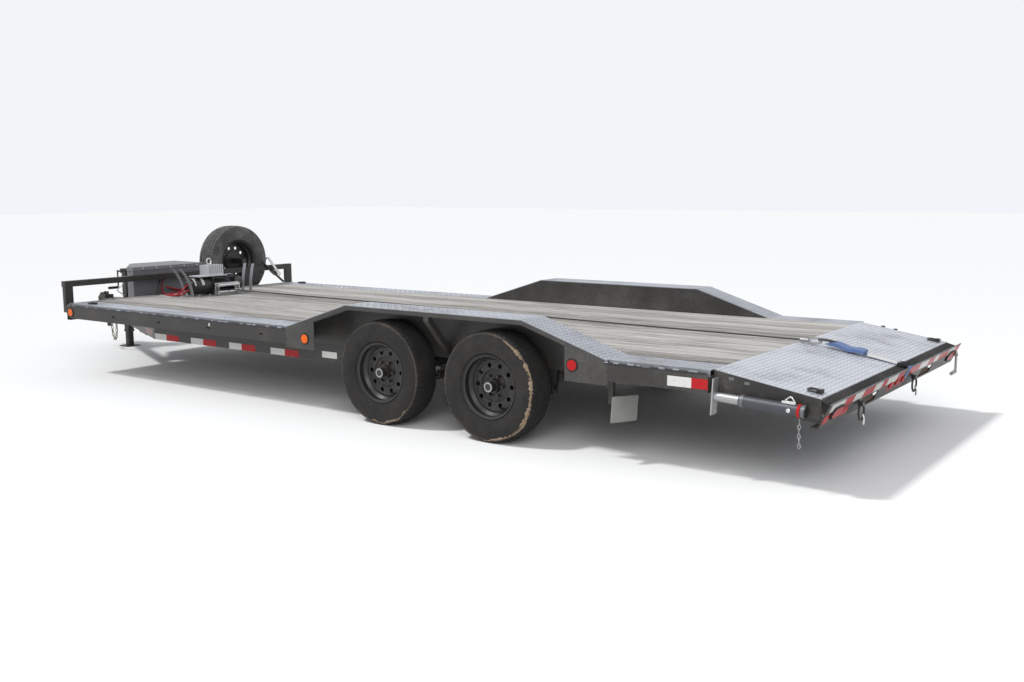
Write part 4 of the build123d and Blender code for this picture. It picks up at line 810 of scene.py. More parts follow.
@dataclass
class Studio:
    """Pale floor, sky, soft lights and the camera at the photograph's place."""

    eye: Triple = (-5.8769, 6.4799, 1.5828)
    ahead: Triple = (0.58080, -0.80156, -0.14204)
    right: Triple = (-0.81013, -0.58624, -0.00433)
    lens: float = 37.70
    sensor: float = 36.0
    far: float = 300.0
    floor_half: float = 60.0
    pale: Triple = (0.86, 0.86, 0.85)
    sky: Triple = (0.93, 0.95, 1.0)
    glow: tuple[float, float] = (0.62, 0.95)
    sun: tuple[float, float] = (1.9, 0.12)
    fill: tuple[float, float] = (420.0, 6.0)
    aims: tuple[tuple[Triple, Triple], ...] = (
        ((6.0, 5.0, 12.0), (0.0, 0.0, 0.0)),
        ((-7.0, 8.0, 6.0), (-1.0, 0.5, 0.4)),
    )

    def camera(self) -> None:
        """Sets the camera from its viewing direction and its right-hand direction."""
        data = bpy.data.cameras.new("camera")
        data.lens, data.sensor_width, data.clip_end = self.lens, self.sensor, self.far
        made = placed("camera", data)
        back, right = -unit(self.ahead), unit(self.right)
        turn = Matrix(np.stack([right, np.cross(back, right), back], -1).tolist())
        made.matrix_world = Matrix.Translation(self.eye) @ turn.to_4x4()
        bpy.context.scene.camera = made

    def floor(self) -> bpy.types.Object:
        """Lays the floor."""
        shader = Shader("studio_floor")
        shader.set(Base_Color=self.pale, Roughness=0.9, Specular_IOR_Level=0.1)
        half = self.floor_half
        corners = [(-half, -half, 0), (half, -half, 0), (half, half, 0), (-half, half, 0)]
        mesh = bpy.data.meshes.new("floor")
        mesh.from_pydata(corners, [], [(0, 1, 2, 3)])
        mesh.materials.append(shader.material)
        return placed("floor", mesh)

    def world(self) -> None:
        """A soft sky that shows near white to the eye, in reflections and through glass."""
        world = bpy.data.worlds.new("studio_sky")
        world.use_nodes = True
        nodes, links = world.node_tree.nodes, world.node_tree.links
        nodes.clear()
        path = nodes.new("ShaderNodeLightPath")
        shown = path.outputs["Is Camera Ray"]
        for ray in ("Is Glossy Ray", "Is Transmission Ray"):
            either = nodes.new("ShaderNodeMath")
            either.operation = "MAXIMUM"
            links.new(shown, either.inputs[0])
            links.new(path.outputs[ray], either.inputs[1])
            shown = either.outputs[0]
        strength = nodes.new("ShaderNodeMapRange")
        strength.inputs["To Min"].default_value, strength.inputs["To Max"].default_value = self.glow
        links.new(shown, strength.inputs["Value"])
        sky = nodes.new("ShaderNodeBackground")
        sky.inputs["Color"].default_value = (*self.sky, 1.0)
        links.new(strength.outputs[0], sky.inputs["Strength"])
        links.new(sky.outputs[0], nodes.new("ShaderNodeOutputWorld").inputs["Surface"])
        bpy.context.scene.world = world

    def lights(self) -> list[bpy.types.Object]:
        """A broad sun from ahead and above, and a soft fill over the near side."""
        sun, fill = bpy.data.lights.new("sun", "SUN"), bpy.data.lights.new("fill", "AREA")
        sun.energy, sun.angle = self.sun
        fill.shape = "SQUARE"
        fill.energy, fill.size = self.fill
        made = []
        for data, (place, aim) in zip((sun, fill), self.aims):
            lamp = placed(data.name, data)
            lamp.location = place
            lamp.rotation_euler = (Vector(aim) - Vector(place)).to_track_quat("-Z", "Y").to_euler()
            made.append(lamp)
        return made

    def build(self) -> None:
        """Makes the whole studio."""
        self.camera()
        self.world()
        stage = [self.floor(), *self.lights()]
        bpy.context.scene.view_settings.view_transform = "Standard"


# Finishes of the frame


@dataclass
class FrameCoats:
    """Puts a finish on every CAD node that stays in view."""

    nodes_of: dict[Coat, str] = field(
        default_factory=lambda: {
            Coat.FRAME: "side_rails main_rails tongue_rails front_header headache_bar rear_bumper coupler"
            " jack_housing spare_carrier",
            Coat.UNDERSIDE: "cleat_comb crossmembers dovetail_beams spring_hangers equalizers shackle_links"
            " axles brake_plates plate_bracket",
            Coat.FENDER: "fender_walls fender_skirts",
            Coat.DECK: "deck_planks",
            Coat.PLATE: "deck_edge_plates fender_tops",
            # The dovetail's lighter copy of the tread finish is painted sunlight off the slope.
            Coat.SLOPE: "dovetail_plate",
            Coat.DRUM: "ramp",
            Coat.ZINC: "axle_clamps rear_jack_leg stowed_crank tow_hook",
            Coat.SPRING: "leaf_springs",
            Coat.TOOLBOX: "toolbox",
            Coat.JACK: "jack_leg",
            Coat.JACK_TUBE: "rear_jack_tube",
            Coat.WHEEL: "wheel spare_rim",
            Coat.TYRE: "tyre",
            Coat.SPARE_TYRE: "spare_tyre",
            Coat.WINCH_BLACK: "winch_body tie_rings",
            Coat.WINCH_GREY: "winch_mount",
            Coat.WINCH_SILVER: "winch_control_box",
            Coat.BRIGHT: "winch_fairlead",
            Coat.ROPE: "winch_rope",
            Coat.RED_CABLE: "winch_lead",
            Coat.STRAP: "tie_strap",
            Coat.AMBER: "amber_lamps",
            Coat.RED: "red_lamps",
            Coat.CHAIN: "safety_chains",
            Coat.NUMBER: "number_plate",
        }
    )

    def coat_of(self, node: str) -> Coat:
        """The finish of the longest key that the node's name starts with."""
        coats = {key: coat for coat, keys in self.nodes_of.items() for key in keys.split()}
        return coats[max((key for key in coats if node == key or node.startswith(key + "_")), key=len)]

    def build(self, nodes: dict[str, bpy.types.Object]) -> None:
        """Dresses each node through its own material slots."""
        for name, node in nodes.items():
            material = self.coat_of(name).material()
            if not node.material_slots:
                node.data.materials.append(material)
            for place in node.material_slots:
                place.link = "OBJECT"
                place.material = material
            LOG.info("%s: finish %s", name, material.name)


# Deck and fenders


@dataclass
class TreadPattern:
    """Raised lozenges of the tread plate on the deck edges, fenders and dovetail."""

    pitch: float = 0.031
    length: float = 0.025
    width: float = 0.0085
    height: float = 0.0012
    margin: float = 0.008
    fender_flat_half: float = 0.731
    deck: float = 0.608
    inset: float = 0.004
    dovetail_step: float = 0.005

    def lozenge(self) -> Surface:
        """One lug: a pointed hexagon at its foot, drawn in to a smaller one on top."""
        reach = np.array([[1, 0], [0.55, 0.5], [-0.55, 0.5], [-1, 0], [-0.55, -0.5], [0.55, -0.5]])
        ring = reach * (self.length / 2, self.width)
        foot = np.column_stack([ring, np.zeros(6)])
        top = np.column_stack([ring * (0.8, 0.6), np.full(6, self.height)])
        side = np.arange(6)
        walls = np.stack([side, (side + 1) % 6, (side + 1) % 6 + 6, side + 6], -1)
        return Surface().add(np.vstack([foot, top]), walls, np.arange(6, 12)[None])

    def patch(self, surface: Surface, corner: Triple, along: Triple, across: Triple) -> None:
        """Fills one flat rectangle with lugs that turn by a right angle from each to the next.

        Args:
            surface: Gathers the lugs.
            corner: Corner of the rectangle, on the plate's top face.
            along: Edge from the corner, with its length.
            across: The other edge, with its length.
        """
        edges = np.array([along, across], float)
        sizes = np.linalg.norm(edges, axis=1)
        directions = edges / sizes[:, None]
        counts = np.maximum(((sizes - 2 * self.margin) / self.pitch).astype(int), 1)
        i, j = (g.ravel() for g in np.meshgrid(np.arange(counts[0]), np.arange(counts[1]), indexing="ij"))
        step = (sizes / counts)[:, None] * directions
        origins = np.array(corner) + (i[:, None] + 0.5) * step[0] + (j[:, None] + 0.5) * step[1]
        sign = np.where((i + j) % 2 == 0, 1.0, -1.0)[:, None]
        lengthwise = (directions[0] + sign * directions[1]) / math.sqrt(2)
        normal = np.cross(directions[0], directions[1])
        normal = normal if normal[2] > 0 else -normal
        upright = np.broadcast_to(normal, lengthwise.shape)
        frames = np.stack([lengthwise, np.cross(normal, lengthwise), upright], 1)
        surface.scatter(self.lozenge(), origins, frames)

    def build(self) -> None:
        """Covers the deck edges, the fender tops and the dovetail."""
        strip_low, strip_high = low("deck_edge_plates"), high("deck_edge_plates")
        crown_low, crown_high = low("fender_tops"), high("fender_tops")
        tail_low, tail_high = low("dovetail_plate"), high("dovetail_plate")
        inner, deck, crown = high("main_rails")[1], self.deck, crown_high[2]
        strip = (inner + self.inset, strip_high[1] - inner - self.inset)
        fender = (inner, crown_high[1] - inner)
        axle, flat = (crown_low[0] + crown_high[0]) / 2, self.fender_flat_half
        runs = (
            (crown_high[0], deck, strip_high[0], deck, strip),
            (strip_low[0], deck, crown_low[0], deck, strip),
            (crown_low[0], deck, axle - flat, crown, fender),
            (axle - flat, crown, axle + flat, crown, fender),
            (axle + flat, crown, crown_high[0], deck, fender),
        )
        surface, slope = Surface(), Surface()
        for side in (1, -1):
            for x0, z0, x1, z1, (start, wide) in runs:
                self.patch(surface, (x0, side * start, z0), (x1 - x0, 0, z1 - z0), (0, side * wide, 0))
        surface.make("tread_lugs", Coat.LUG, "tread_plate", smooth=False)
        fall = tail_high[2] - self.dovetail_step - tail_low[2]
        corner = (tail_low[0], tail_low[1], tail_high[2] - fall)
        self.patch(slope, corner, (tail_high[0] - tail_low[0], 0, fall), (0, tail_high[1] - tail_low[1], 0))
        # The dovetail's lugs take a lighter copy of the lug finish: painted sunlight off the slope.
        slope.make("tread_lugs_slope", Coat.SLOPE_LUG, "tread_plate", smooth=False)


@dataclass
class DeckFixings:
    """Screws that hold the planks, and clips that bridge the gap to the side rails."""

    screw_radius: float = 0.0062
    joist_pitch: float = 0.406
    first: float = 0.6
    planks: int = 11
    plank_gap: float = 0.0076
    in_plank: tuple[float, float] = (0.04, 0.144)
    header: float = 0.045
    past_joist: float = 0.019
    clip: float = 0.05
    clip_pitches: tuple[float, float] = (0.61, 0.24)

    def screws(self) -> None:
        """Two screw heads in each plank over each joist."""
        front, rear = high("main_rails")[0] + self.header, low("main_rails")[0]
        deck_low, deck_high = low("deck_planks"), high("deck_planks")
        plank = (deck_high[1] - deck_low[1] + self.plank_gap) / self.planks
        joists = np.arange(int((front - rear) / self.joist_pitch)) + self.first
        stations = front - self.joist_pitch * joists + self.past_joist
        lanes = deck_low[1] + plank * np.arange(self.planks)[:, None] + np.array(self.in_plank)
        x, y = np.meshgrid(stations, lanes.ravel(), indexing="ij")
        spots = np.column_stack([x.ravel(), y.ravel(), np.full(x.size, deck_high[2] - 0.0006)])
        radius = self.screw_radius
        head = Surface().revolve([(radius, 0), (radius, 0.001), (radius * 0.7, 0.0016)], segments=10)
        Surface().scatter(head, spots).make("deck_screws", Coat.ZINC, "jack_steel", smooth=False)

    def clips(self) -> None:
        """Short tabs from the side rail's top edge to the tread strip."""
        rail, strip_edge = high("side_rails"), high("deck_edge_plates")[1]
        wide, close = self.clip_pitches
        ahead = np.arange(high("fender_tops")[0] + 0.3, rail[0] - 0.1, wide)
        behind = np.arange(low("side_rails")[0] + 0.12, low("fender_tops")[0], close)
        stations = np.concatenate([ahead, behind])
        lows, highs = [], []
        for side in (1, -1):
            y0, y1 = sorted((side * (strip_edge - 0.001), side * (rail[1] - 0.003)))
            lows += [(x, y0, rail[2] - 0.016) for x in stations]
            highs += [(x + self.clip, y1, rail[2] - 0.008) for x in stations]
        Surface().boxes(lows, highs).make("edge_clips", Coat.GALVANISED, "grey_steel", bevel=0.001)

    def build(self) -> None:
        """Adds both."""
        self.screws()
        self.clips()


# Tyres and wheels


@dataclass
class TyreShape:
    """A trailer tyre with ribbed tread, sipes and a stepped side wall."""

    outer: float = 0.3538
    tread_half: float = 0.094
    crown: float = 0.0015
    shoulder: float = 0.0065
    groove_depth: float = 0.0085
    groove_half: float = 0.0042
    groove_draft: float = 0.0012
    grooves: tuple[float, ...] = (-0.054, -0.0185, 0.0185, 0.054)
    blocks: int = 66
    wave: float = 0.0034
    sipe_depth: float = 0.005
    block_parts: tuple[float, ...] = (0.0, 0.02, 0.1, 0.12, 0.35, 0.56, 0.78)
    notch_start: float = 0.325
    notch_run: float = 0.012
    notched_from: float = 0.06
    side_wall: Pairs = (
        (0.0735, 0.195), (0.079, 0.2035), (0.0835, 0.2085), (0.0925, 0.2125),
        (0.0985, 0.2175), (0.0995, 0.2235), (0.1045, 0.238), (0.1082, 0.255),
        (0.1095, 0.272), (0.1085, 0.2885), (0.1068, 0.2955), (0.1072, 0.2975),
        (0.1065, 0.3005), (0.1035, 0.3155), (0.1002, 0.3305), (0.0975, 0.3405),
    )
    inside: Pairs = ((0.06, 0.205), (0.05, 0.23), (-0.05, 0.23), (-0.06, 0.205))

    def section(self) -> tuple[np.ndarray, np.ndarray, np.ndarray, np.ndarray]:
        """The tyre's section from one bead to the other.

        Returns:
            Place across, radius, depth of the grooves and weight of the side notches, row by row.
        """
        wall = np.array(self.side_wall)
        flanks = [g + s for g in self.grooves for s in (-self.groove_half, self.groove_half)]
        edges = [-self.tread_half, *flanks, self.tread_half]
        across, deep = [], []
        for i, (start, end) in enumerate(zip(edges[:-1], edges[1:])):
            rib = i % 2 == 0
            groove = [start + self.groove_draft, end - self.groove_draft]
            across += list(np.linspace(start, end, 4)) if rib else groove
            deep += [0.0] * 4 if rib else [self.groove_depth] * 2
        tread = np.array(across)
        share = tread / self.tread_half
        radius = self.outer - self.shoulder * share**4 - self.crown * share**2
        notch = np.clip((wall[:, 1] - self.notch_start) / self.notch_run, 0, 1)
        plain = np.zeros(len(wall))
        return (
            np.concatenate([-wall[:, 0], tread, wall[::-1, 0]]),
            np.concatenate([wall[:, 1], radius, wall[::-1, 1]]),
            np.concatenate([plain, deep, plain]),
            np.concatenate([notch, (np.abs(tread) > self.notched_from) * 1.0, notch[::-1]]),
        )

    def surface(self, centre: np.ndarray, axis: Triple) -> Surface:
        """The whole tyre as one closed grid.

        Angles step unevenly through each block, so that its sipe has upright sides. The grooves
        swing sideways by a wave of one period a block. A point's radius is the section's radius
        less the groove's depth and less the sipe's depth where both sipe and notch apply.

        Args:
            centre: Middle of the tyre.
            axis: Direction of the axle, outwards.

        Returns:
            The surface.
        """
        across, radius, depth, notch = self.section()
        phase = (np.arange(self.blocks)[:, None] + self.block_parts).ravel() / self.blocks
        in_sipe = np.tile(np.isin(np.arange(len(self.block_parts)), (1, 2)), self.blocks)
        angle = 2 * np.pi * phase
        swing = self.wave * np.abs(((phase * self.blocks) % 1.0) * 2 - 1) - self.wave / 2
        on_tread = (np.abs(across) < self.tread_half - 0.01)[:, None]
        place = across[:, None] + swing[None] * on_tread
        sipe = self.sipe_depth * notch[:, None] * in_sipe[None] * (depth[:, None] == 0)
        reach = radius[:, None] - depth[:, None] - sipe
        along = unit(axis)
        side, up = square_to(along)
        ring = np.cos(angle)[:, None] * side + np.sin(angle)[:, None] * up
        points = centre + place[..., None] * along + reach[..., None] * ring[None]
        offset, bore = np.array(self.inside).T[..., None, None]
        inner = centre + offset * along + bore * ring[None]
        return Surface().grid(np.concatenate([points, inner]), wrap_rows=True, wrap_columns=True)


class Corner(Enum):
    """The four running wheels by body name."""

    FRONT_LEFT = "front_left"
    FRONT_RIGHT = "front_right"
    REAR_LEFT = "rear_left"
    REAR_RIGHT = "rear_right"

    @property
    def side(self) -> int:
        """Plus one on the left, minus one on the right."""
        return 1 if self.value.endswith("left") else -1

    @property
    def body(self) -> str:
        """CAD body of this wheel."""
        return f"wheel_{self.value}"


@dataclass
class Wheels:
    """Detailed tyres on the four wheels and the spare, with valves, caps, rim rings, rust and scuffs."""

    tyre: TyreShape = field(default_factory=TyreShape)
    lug_circle: float = 0.0699
    lug_count: int = 6
    disc: float = 0.0187
    cap: Pairs = (
        (0.031, -0.004), (0.031, 0.0), (0.022, 0.0012), (0.0205, -0.006), (0.006, -0.006), (0.004, -0.003),
    )
    scuff: Pairs = ((0.3305, 0.0998), (0.334, 0.1004), (0.3395, 0.0991), (0.3405, 0.0972), (0.334, 0.0985))
    washer: Pairs = ((0.0155, 0.0), (0.015, 0.001), (0.011, 0.0014))
    stem: Pairs = ((0.163, 0.03), (0.156, 0.048), (0.15, 0.066))
    stem_radii: tuple[float, float] = (0.006, 0.0036)
    rims: tuple[tuple[int, Pairs], ...] = (
        (
            96,
            (
                (0.2065, 0.0885), (0.2045, 0.0905), (0.2005, 0.0895),
                (0.1985, 0.0855), (0.2005, 0.0835), (0.2055, 0.0845),
            ),
        ),
        (96, ((0.168, 0.019), (0.166, 0.0235), (0.158, 0.026), (0.15, 0.0235), (0.147, 0.0185))),
        (72, ((0.106, 0.0185), (0.102, 0.0225), (0.094, 0.0235), (0.09, 0.0185))),
    )

    def running(self, corner: Corner) -> None:
        """Tyre, hub, rust, scuffed edge, valve and rim of one running wheel."""
        name, body, outward = corner.value, corner.body, (0, corner.side, 0)
        centre = middle(f"tyre_{name}")
        made = self.tyre.surface(centre, outward).make(f"tread_tyre_{name}", Coat.TYRE, "tyre_rubber", body)
        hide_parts(f"tyre_{name}")
        face = abs(high(body)[1] if corner.side > 0 else low(body)[1])
        hub = Surface().revolve(self.cap, centre * (1, 0, 1) + (0, corner.side * face, 0), outward, 40)
        hub.make(f"hub_cap_{name}", Coat.ZINC, "jack_steel", body)
        scuff = Surface().revolve(self.scuff, centre, outward, 180, closed=True)
        scuff.make(f"scuffed_edge_{name}", Coat.SCUFF, "tyre_rubber", body)
        lugs = turned(centre + (0, corner.side * self.disc, self.lug_circle), centre, self.lug_count)
        washer = Surface().revolve(self.washer, segments=20)
        rust = Surface().scatter(washer, lugs, facing(outward, self.lug_count))
        rust.make(f"lug_rust_{name}", Coat.NUT_RUST, "wheel_paint", body)
        self.valve(centre, outward, body, name)
        self.rim_rings(centre, outward, body, name)

    def valve(self, centre: np.ndarray, outward: Triple, body: str, name: str) -> None:
        """A rubber valve stem that leans out from the rim."""
        along = unit(outward)
        side, up = square_to(along)
        spoke = unit(0.5 * side - 0.86 * up)
        path = curve_through([centre + spoke * reach + along * out for reach, out in self.stem], 5)
        stem = Surface().tube(path, np.linspace(*self.stem_radii, len(path)), 10)
        stem.make(f"valve_{name}", Coat.RUBBER, "tyre_rubber", body)

    def rim_rings(self, centre: np.ndarray, outward: Triple, body: str, name: str) -> None:
        """The rolled edge of the rim and the raised rings round the disc."""
        rings = Surface()
        for segments, profile in self.rims:
            rings.revolve(profile, centre, outward, segments, closed=True)
        rings.make(f"rim_rings_{name}", Coat.WHEEL, "wheel_paint", body)

    def build(self) -> None:
        """All five wheels."""
        for corner in Corner:
            self.running(corner)
        centre, ahead = middle("spare_tyre"), (1, 0, 0)
        made = self.tyre.surface(centre, ahead).make("tread_tyre_spare", Coat.SPARE_TYRE, "tyre_rubber")
        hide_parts("spare_tyre")
        self.rim_rings(centre, ahead, "trailer", "spare")


# Markings and lamps


@dataclass
class Tapes:
    """Red and white reflective strips along the frame, the rails and the bumper."""

    thickness: float = 0.0007
    height: float = 0.05
    side_height: float = 0.056
    frame_rows: tuple[Triple, ...] = (
        (1.730, 1.576, 1.416), (1.258, 1.106, 0.946), (0.789, 0.642, 0.486), (0.310, 0.155, 0.006),
    )
    side_row: Triple = (-3.170, -3.315, -3.412)
    bumper_whites: Pairs = (
        (1.253, 1.050), (0.902, 0.749), (0.558, 0.421), (0.326, 0.129),
        (-0.334, -0.527), (-0.667, -0.770), (-1.006, -1.163),
    )
    bumper_reds: Pairs = (
        (1.050, 0.902), (0.749, 0.558), (0.421, 0.326), (0.129, 0.009),
        (-0.114, -0.334), (-0.527, -0.667), (-0.770, -1.006), (-1.163, -1.290),
    )
    low_reds: Pairs = ((1.290, 1.215), (1.088, 0.924))
    dashes: Pairs = ((0.245, 0.211), (0.17, 0.136), (0.095, 0.061), (0.02, -0.014))
    low_drops: tuple[float, float] = (0.66, 0.62)
    row_drop: float = 0.23
    faded: tuple[float, float] = (1.80, 2.06)
    below_middle: float = 0.0385

    def strip(
        self,
        surface: Surface,
        start: Sequence[float],
        end: Sequence[float],
        up: Sequence[float],
        height: float,
    ) -> None:
        """Adds one thin strip centred on a line across a face.

        Args:
            surface: Gathers the strips.
            start: First end of the strip's centre line, on the face.
            end: Other end.
            up: Direction of the strip's height.
            height: Height of the strip.
        """
        start, end = np.array(start, float), np.array(end, float)
        along, rise = unit(end - start), unit(up)
        length = float(np.linalg.norm(end - start))
        box = Surface().boxes([(0, -height / 2, -self.thickness)], [(length, height / 2, self.thickness)])
        surface.scatter(box, start, np.stack([along, rise, np.cross(along, rise)])[None])

    def rails(self, white: Surface, red: Surface) -> None:
        """Strips on the wrap tongue's under rails and on the side rails, both sides."""
        z = middle("tongue_rails")[2] - self.below_middle
        rows = [(row, high("tongue_rails")[1], z, self.height) for row in self.frame_rows]
        rows.append((self.side_row, high("side_rails")[1], low("side_rails")[2] + 0.047, self.side_height))
        for side in (1, -1):
            for (first, change, last), y, z, height in rows:
                self.strip(white, (first, side * y, z), (change, side * y, z), (0, 0, 1), height)
                self.strip(red, (change, side * y, z), (last, side * y, z), (0, 0, 1), height)

    def bumper(self, white: Surface, red: Surface) -> None:
        """Strips in a row along the leaning bumper, with some lower ones and a few dashes."""
        corner = np.array([low("rear_bumper")[0], 0, high("rear_bumper")[2]])
        for surface, spans, drop in (
            (white, self.bumper_whites, self.row_drop), (red, self.bumper_reds, self.row_drop),
            (red, self.low_reds, self.low_drops[0]), (red, self.dashes, self.low_drops[1]),
        ):
            for start, end in spans:
                point = corner - BUMPER_LEAN * drop
                self.strip(surface, point + (0, start, 0), point + (0, end, 0), BUMPER_LEAN, self.height)

    def build(self) -> None:
        """Makes the white, red and faded strips and the blank tag."""
        white, red, faded = Surface(), Surface(), Surface()
        self.rails(white, red)
        self.bumper(white, red)
        tip, slope, z = high("tongue_rails"), tongue_slope(), middle("tongue_rails")[2] - 0.02
        for side in (1, -1):
            ends = [(x, side * (TONGUE_TIP_HALF + (tip[0] - x) * slope + 0.0002), z) for x in self.faded]
            self.strip(faded, *ends, (0, 0, 1), self.side_height)
        tag = Surface().boxes([(-0.392, tip[1] - 0.0002, 0.365)], [(-0.241, tip[1] + 0.0012, 0.411)])
        tag.make("blank_tag", Coat.TAG, "plate_blank", smooth=False)
        white.make("white_tape", Coat.TAPE_WHITE, "frame_paint", smooth=False)
        red.make("red_tape", Coat.TAPE_RED, "frame_paint", smooth=False)
        faded.make("faded_tape", Coat.TAPE_FADED, "frame_paint", smooth=False)


@dataclass
class Lamps:
    """Rubber grommets round the side lamps and the oval tail lamps."""

    radius: float = 0.0315
    lip: Pairs = ((0.0005, -0.001), (0.0005, 0.0054), (0.004, 0.0059), (0.0085, 0.0035), (0.009, -0.001))
    oval_half: float = 0.032
    oval_flat: float = 0.047

    def build(self) -> None:
        """Adds a rubber ring to each side lamp and each tail lamp."""
        rings, radius = Surface(), self.radius
        rear, front, z = low("amber_lamps")[0], high("amber_lamps")[0], middle("amber_lamps")[2]
        face = high("amber_lamps")[1] - 0.006
        side_lamps = ((front - radius, z), (rear + radius, z), (high("red_lamps")[0] - radius, z + 0.022))
        for side in (1, -1):
            for x, height in side_lamps:
                lip = [(radius + reach, along) for reach, along in self.lip]
                rings.revolve(lip, (x, side * face, height), (0, side, 0), closed=True)
        lean, out = unit(BUMPER_LEAN), unit((-BUMPER_LEAN[2], 0, BUMPER_LEAN[0]))
        turn = np.linspace(0, 2 * np.pi, 64, endpoint=False)
        across = np.cos(turn) * self.oval_half + np.sign(np.cos(turn)) * self.oval_flat
        upright = (np.sin(turn) * self.oval_half)[:, None] * lean
        x, y, z = low("rear_bumper")[0] + 0.031, high("side_rails")[1] - 0.1725, middle("rear_bumper")[2]
        for side in (1, -1):
            path = (x, side * y, z) + across[:, None] * np.array([0, 1, 0]) + upright
            rings.tube(path + out * 0.005, 0.0055, 10, closed=True)
        rings.make("lamp_grommets", Coat.RUBBER, "tyre_rubber")


# Chains, cables and the winch


@dataclass
class Chain:
    """Welded chain whose links turn by a right angle from each to the next."""

    bar: float = 0.0044
    link_length: float = 0.046
    link_width: float = 0.028

    def link(self) -> Surface:
        """One link around zero, its length along X and its width along Y."""
        turn = np.linspace(0, 2 * np.pi, 20, endpoint=False)
        radius = self.link_width / 2 - self.bar
        flat = self.link_length / 2 - self.link_width / 2
        x = np.cos(turn) * radius + np.sign(np.round(np.cos(turn), 9)) * flat
        return Surface().tube(np.column_stack([x, np.sin(turn) * radius, 0 * turn]), self.bar, 8, closed=True)

    def hang(self, surface: Surface, path: np.ndarray) -> None:
        """Threads links along a path, one for each inside length of a link."""
        reach = np.concatenate([[0], np.cumsum(np.linalg.norm(np.diff(path, axis=0), axis=1))])
        count = max(int(reach[-1] / (self.link_length - 2 * self.bar)), 1)
        at = (np.arange(count) + 0.5) * reach[-1] / count

        def along(run: np.ndarray) -> np.ndarray:
            return np.stack([np.interp(run, reach, path[:, k]) for k in range(3)], -1)

        ahead = along(at + 0.01) - along(at - 0.01)
        ahead /= np.linalg.norm(ahead, axis=1)[:, None]
        helper = np.cross(ahead, unit((0.37, 0.91, 0.18)))
        side = helper / np.linalg.norm(helper, axis=1)[:, None]
        up = np.cross(ahead, side)
        even = (np.arange(count) % 2 == 0)[:, None]
        wide = np.where(even, side + up, side - up) / math.sqrt(2)
        surface.scatter(self.link(), along(at), np.stack([ahead, wide, np.cross(ahead, wide)], 1))


@dataclass
class SafetyChains:
    """Linked chains in place of the frame's smooth ones, and the rear jack's keeper chain."""

    chain: Chain = field(default_factory=Chain)
    fine: Chain = field(default_factory=lambda: Chain(bar=0.0024, link_length=0.028, link_width=0.017))
    core: float = 0.008

    def build(self) -> None:
        """Hangs both tongue chains along the frame's own loops, then the keeper chain."""
        bottom, top = low("safety_chains"), high("safety_chains")
        front_x, rear_x, outer = top[0] - self.core, bottom[0] + self.core, top[1] - self.core
        inner = outer - (front_x - rear_x) * tongue_slope()
        radius = math.hypot(front_x - rear_x, outer - inner) / 2
        bend = bottom[2] + self.core + radius
        turn = np.linspace(0, np.pi, 30)[:, None]
        whole = Surface()
        for side in (1, -1):
            start, end = np.array([front_x, side * inner, top[2]]), np.array([rear_x, side * outer, top[2]])
            arc = (start + end) / 2 * (1, 1, 0) + (0, 0, bend) - np.cos(turn) * (end - start) / 2
            arc += np.array([0, 0, -radius]) * np.sin(turn)
            self.chain.hang(whole, np.vstack([start - (0, 0, 0.004), arc, end - (0, 0, 0.004)]))
        made = whole.make("chain_links", Coat.CHAIN, "chain_steel")
        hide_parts("safety_chains")
        self.keeper()

    def keeper(self) -> None:
        """Hangs the fine chain that holds the near rear jack's pin from an eye beside the tube."""
        x, y, top = low("rear_bumper")[0] + 0.174, middle("rear_jack_tube_left")[1], 0.398
        hung = Surface()
        path = curve_through([(x, y, top - 0.002), (x + 0.001, y + 0.002, 0.33), (x - 0.002, y, 0.245)], 8)
        self.fine.hang(hung, path)
        hung.tube([(x, 1.2205, top), (x, y + 0.004, top)], 0.0035, 10)
        hung.make("jack_keeper_chain", Coat.ZINC, "jack_steel")


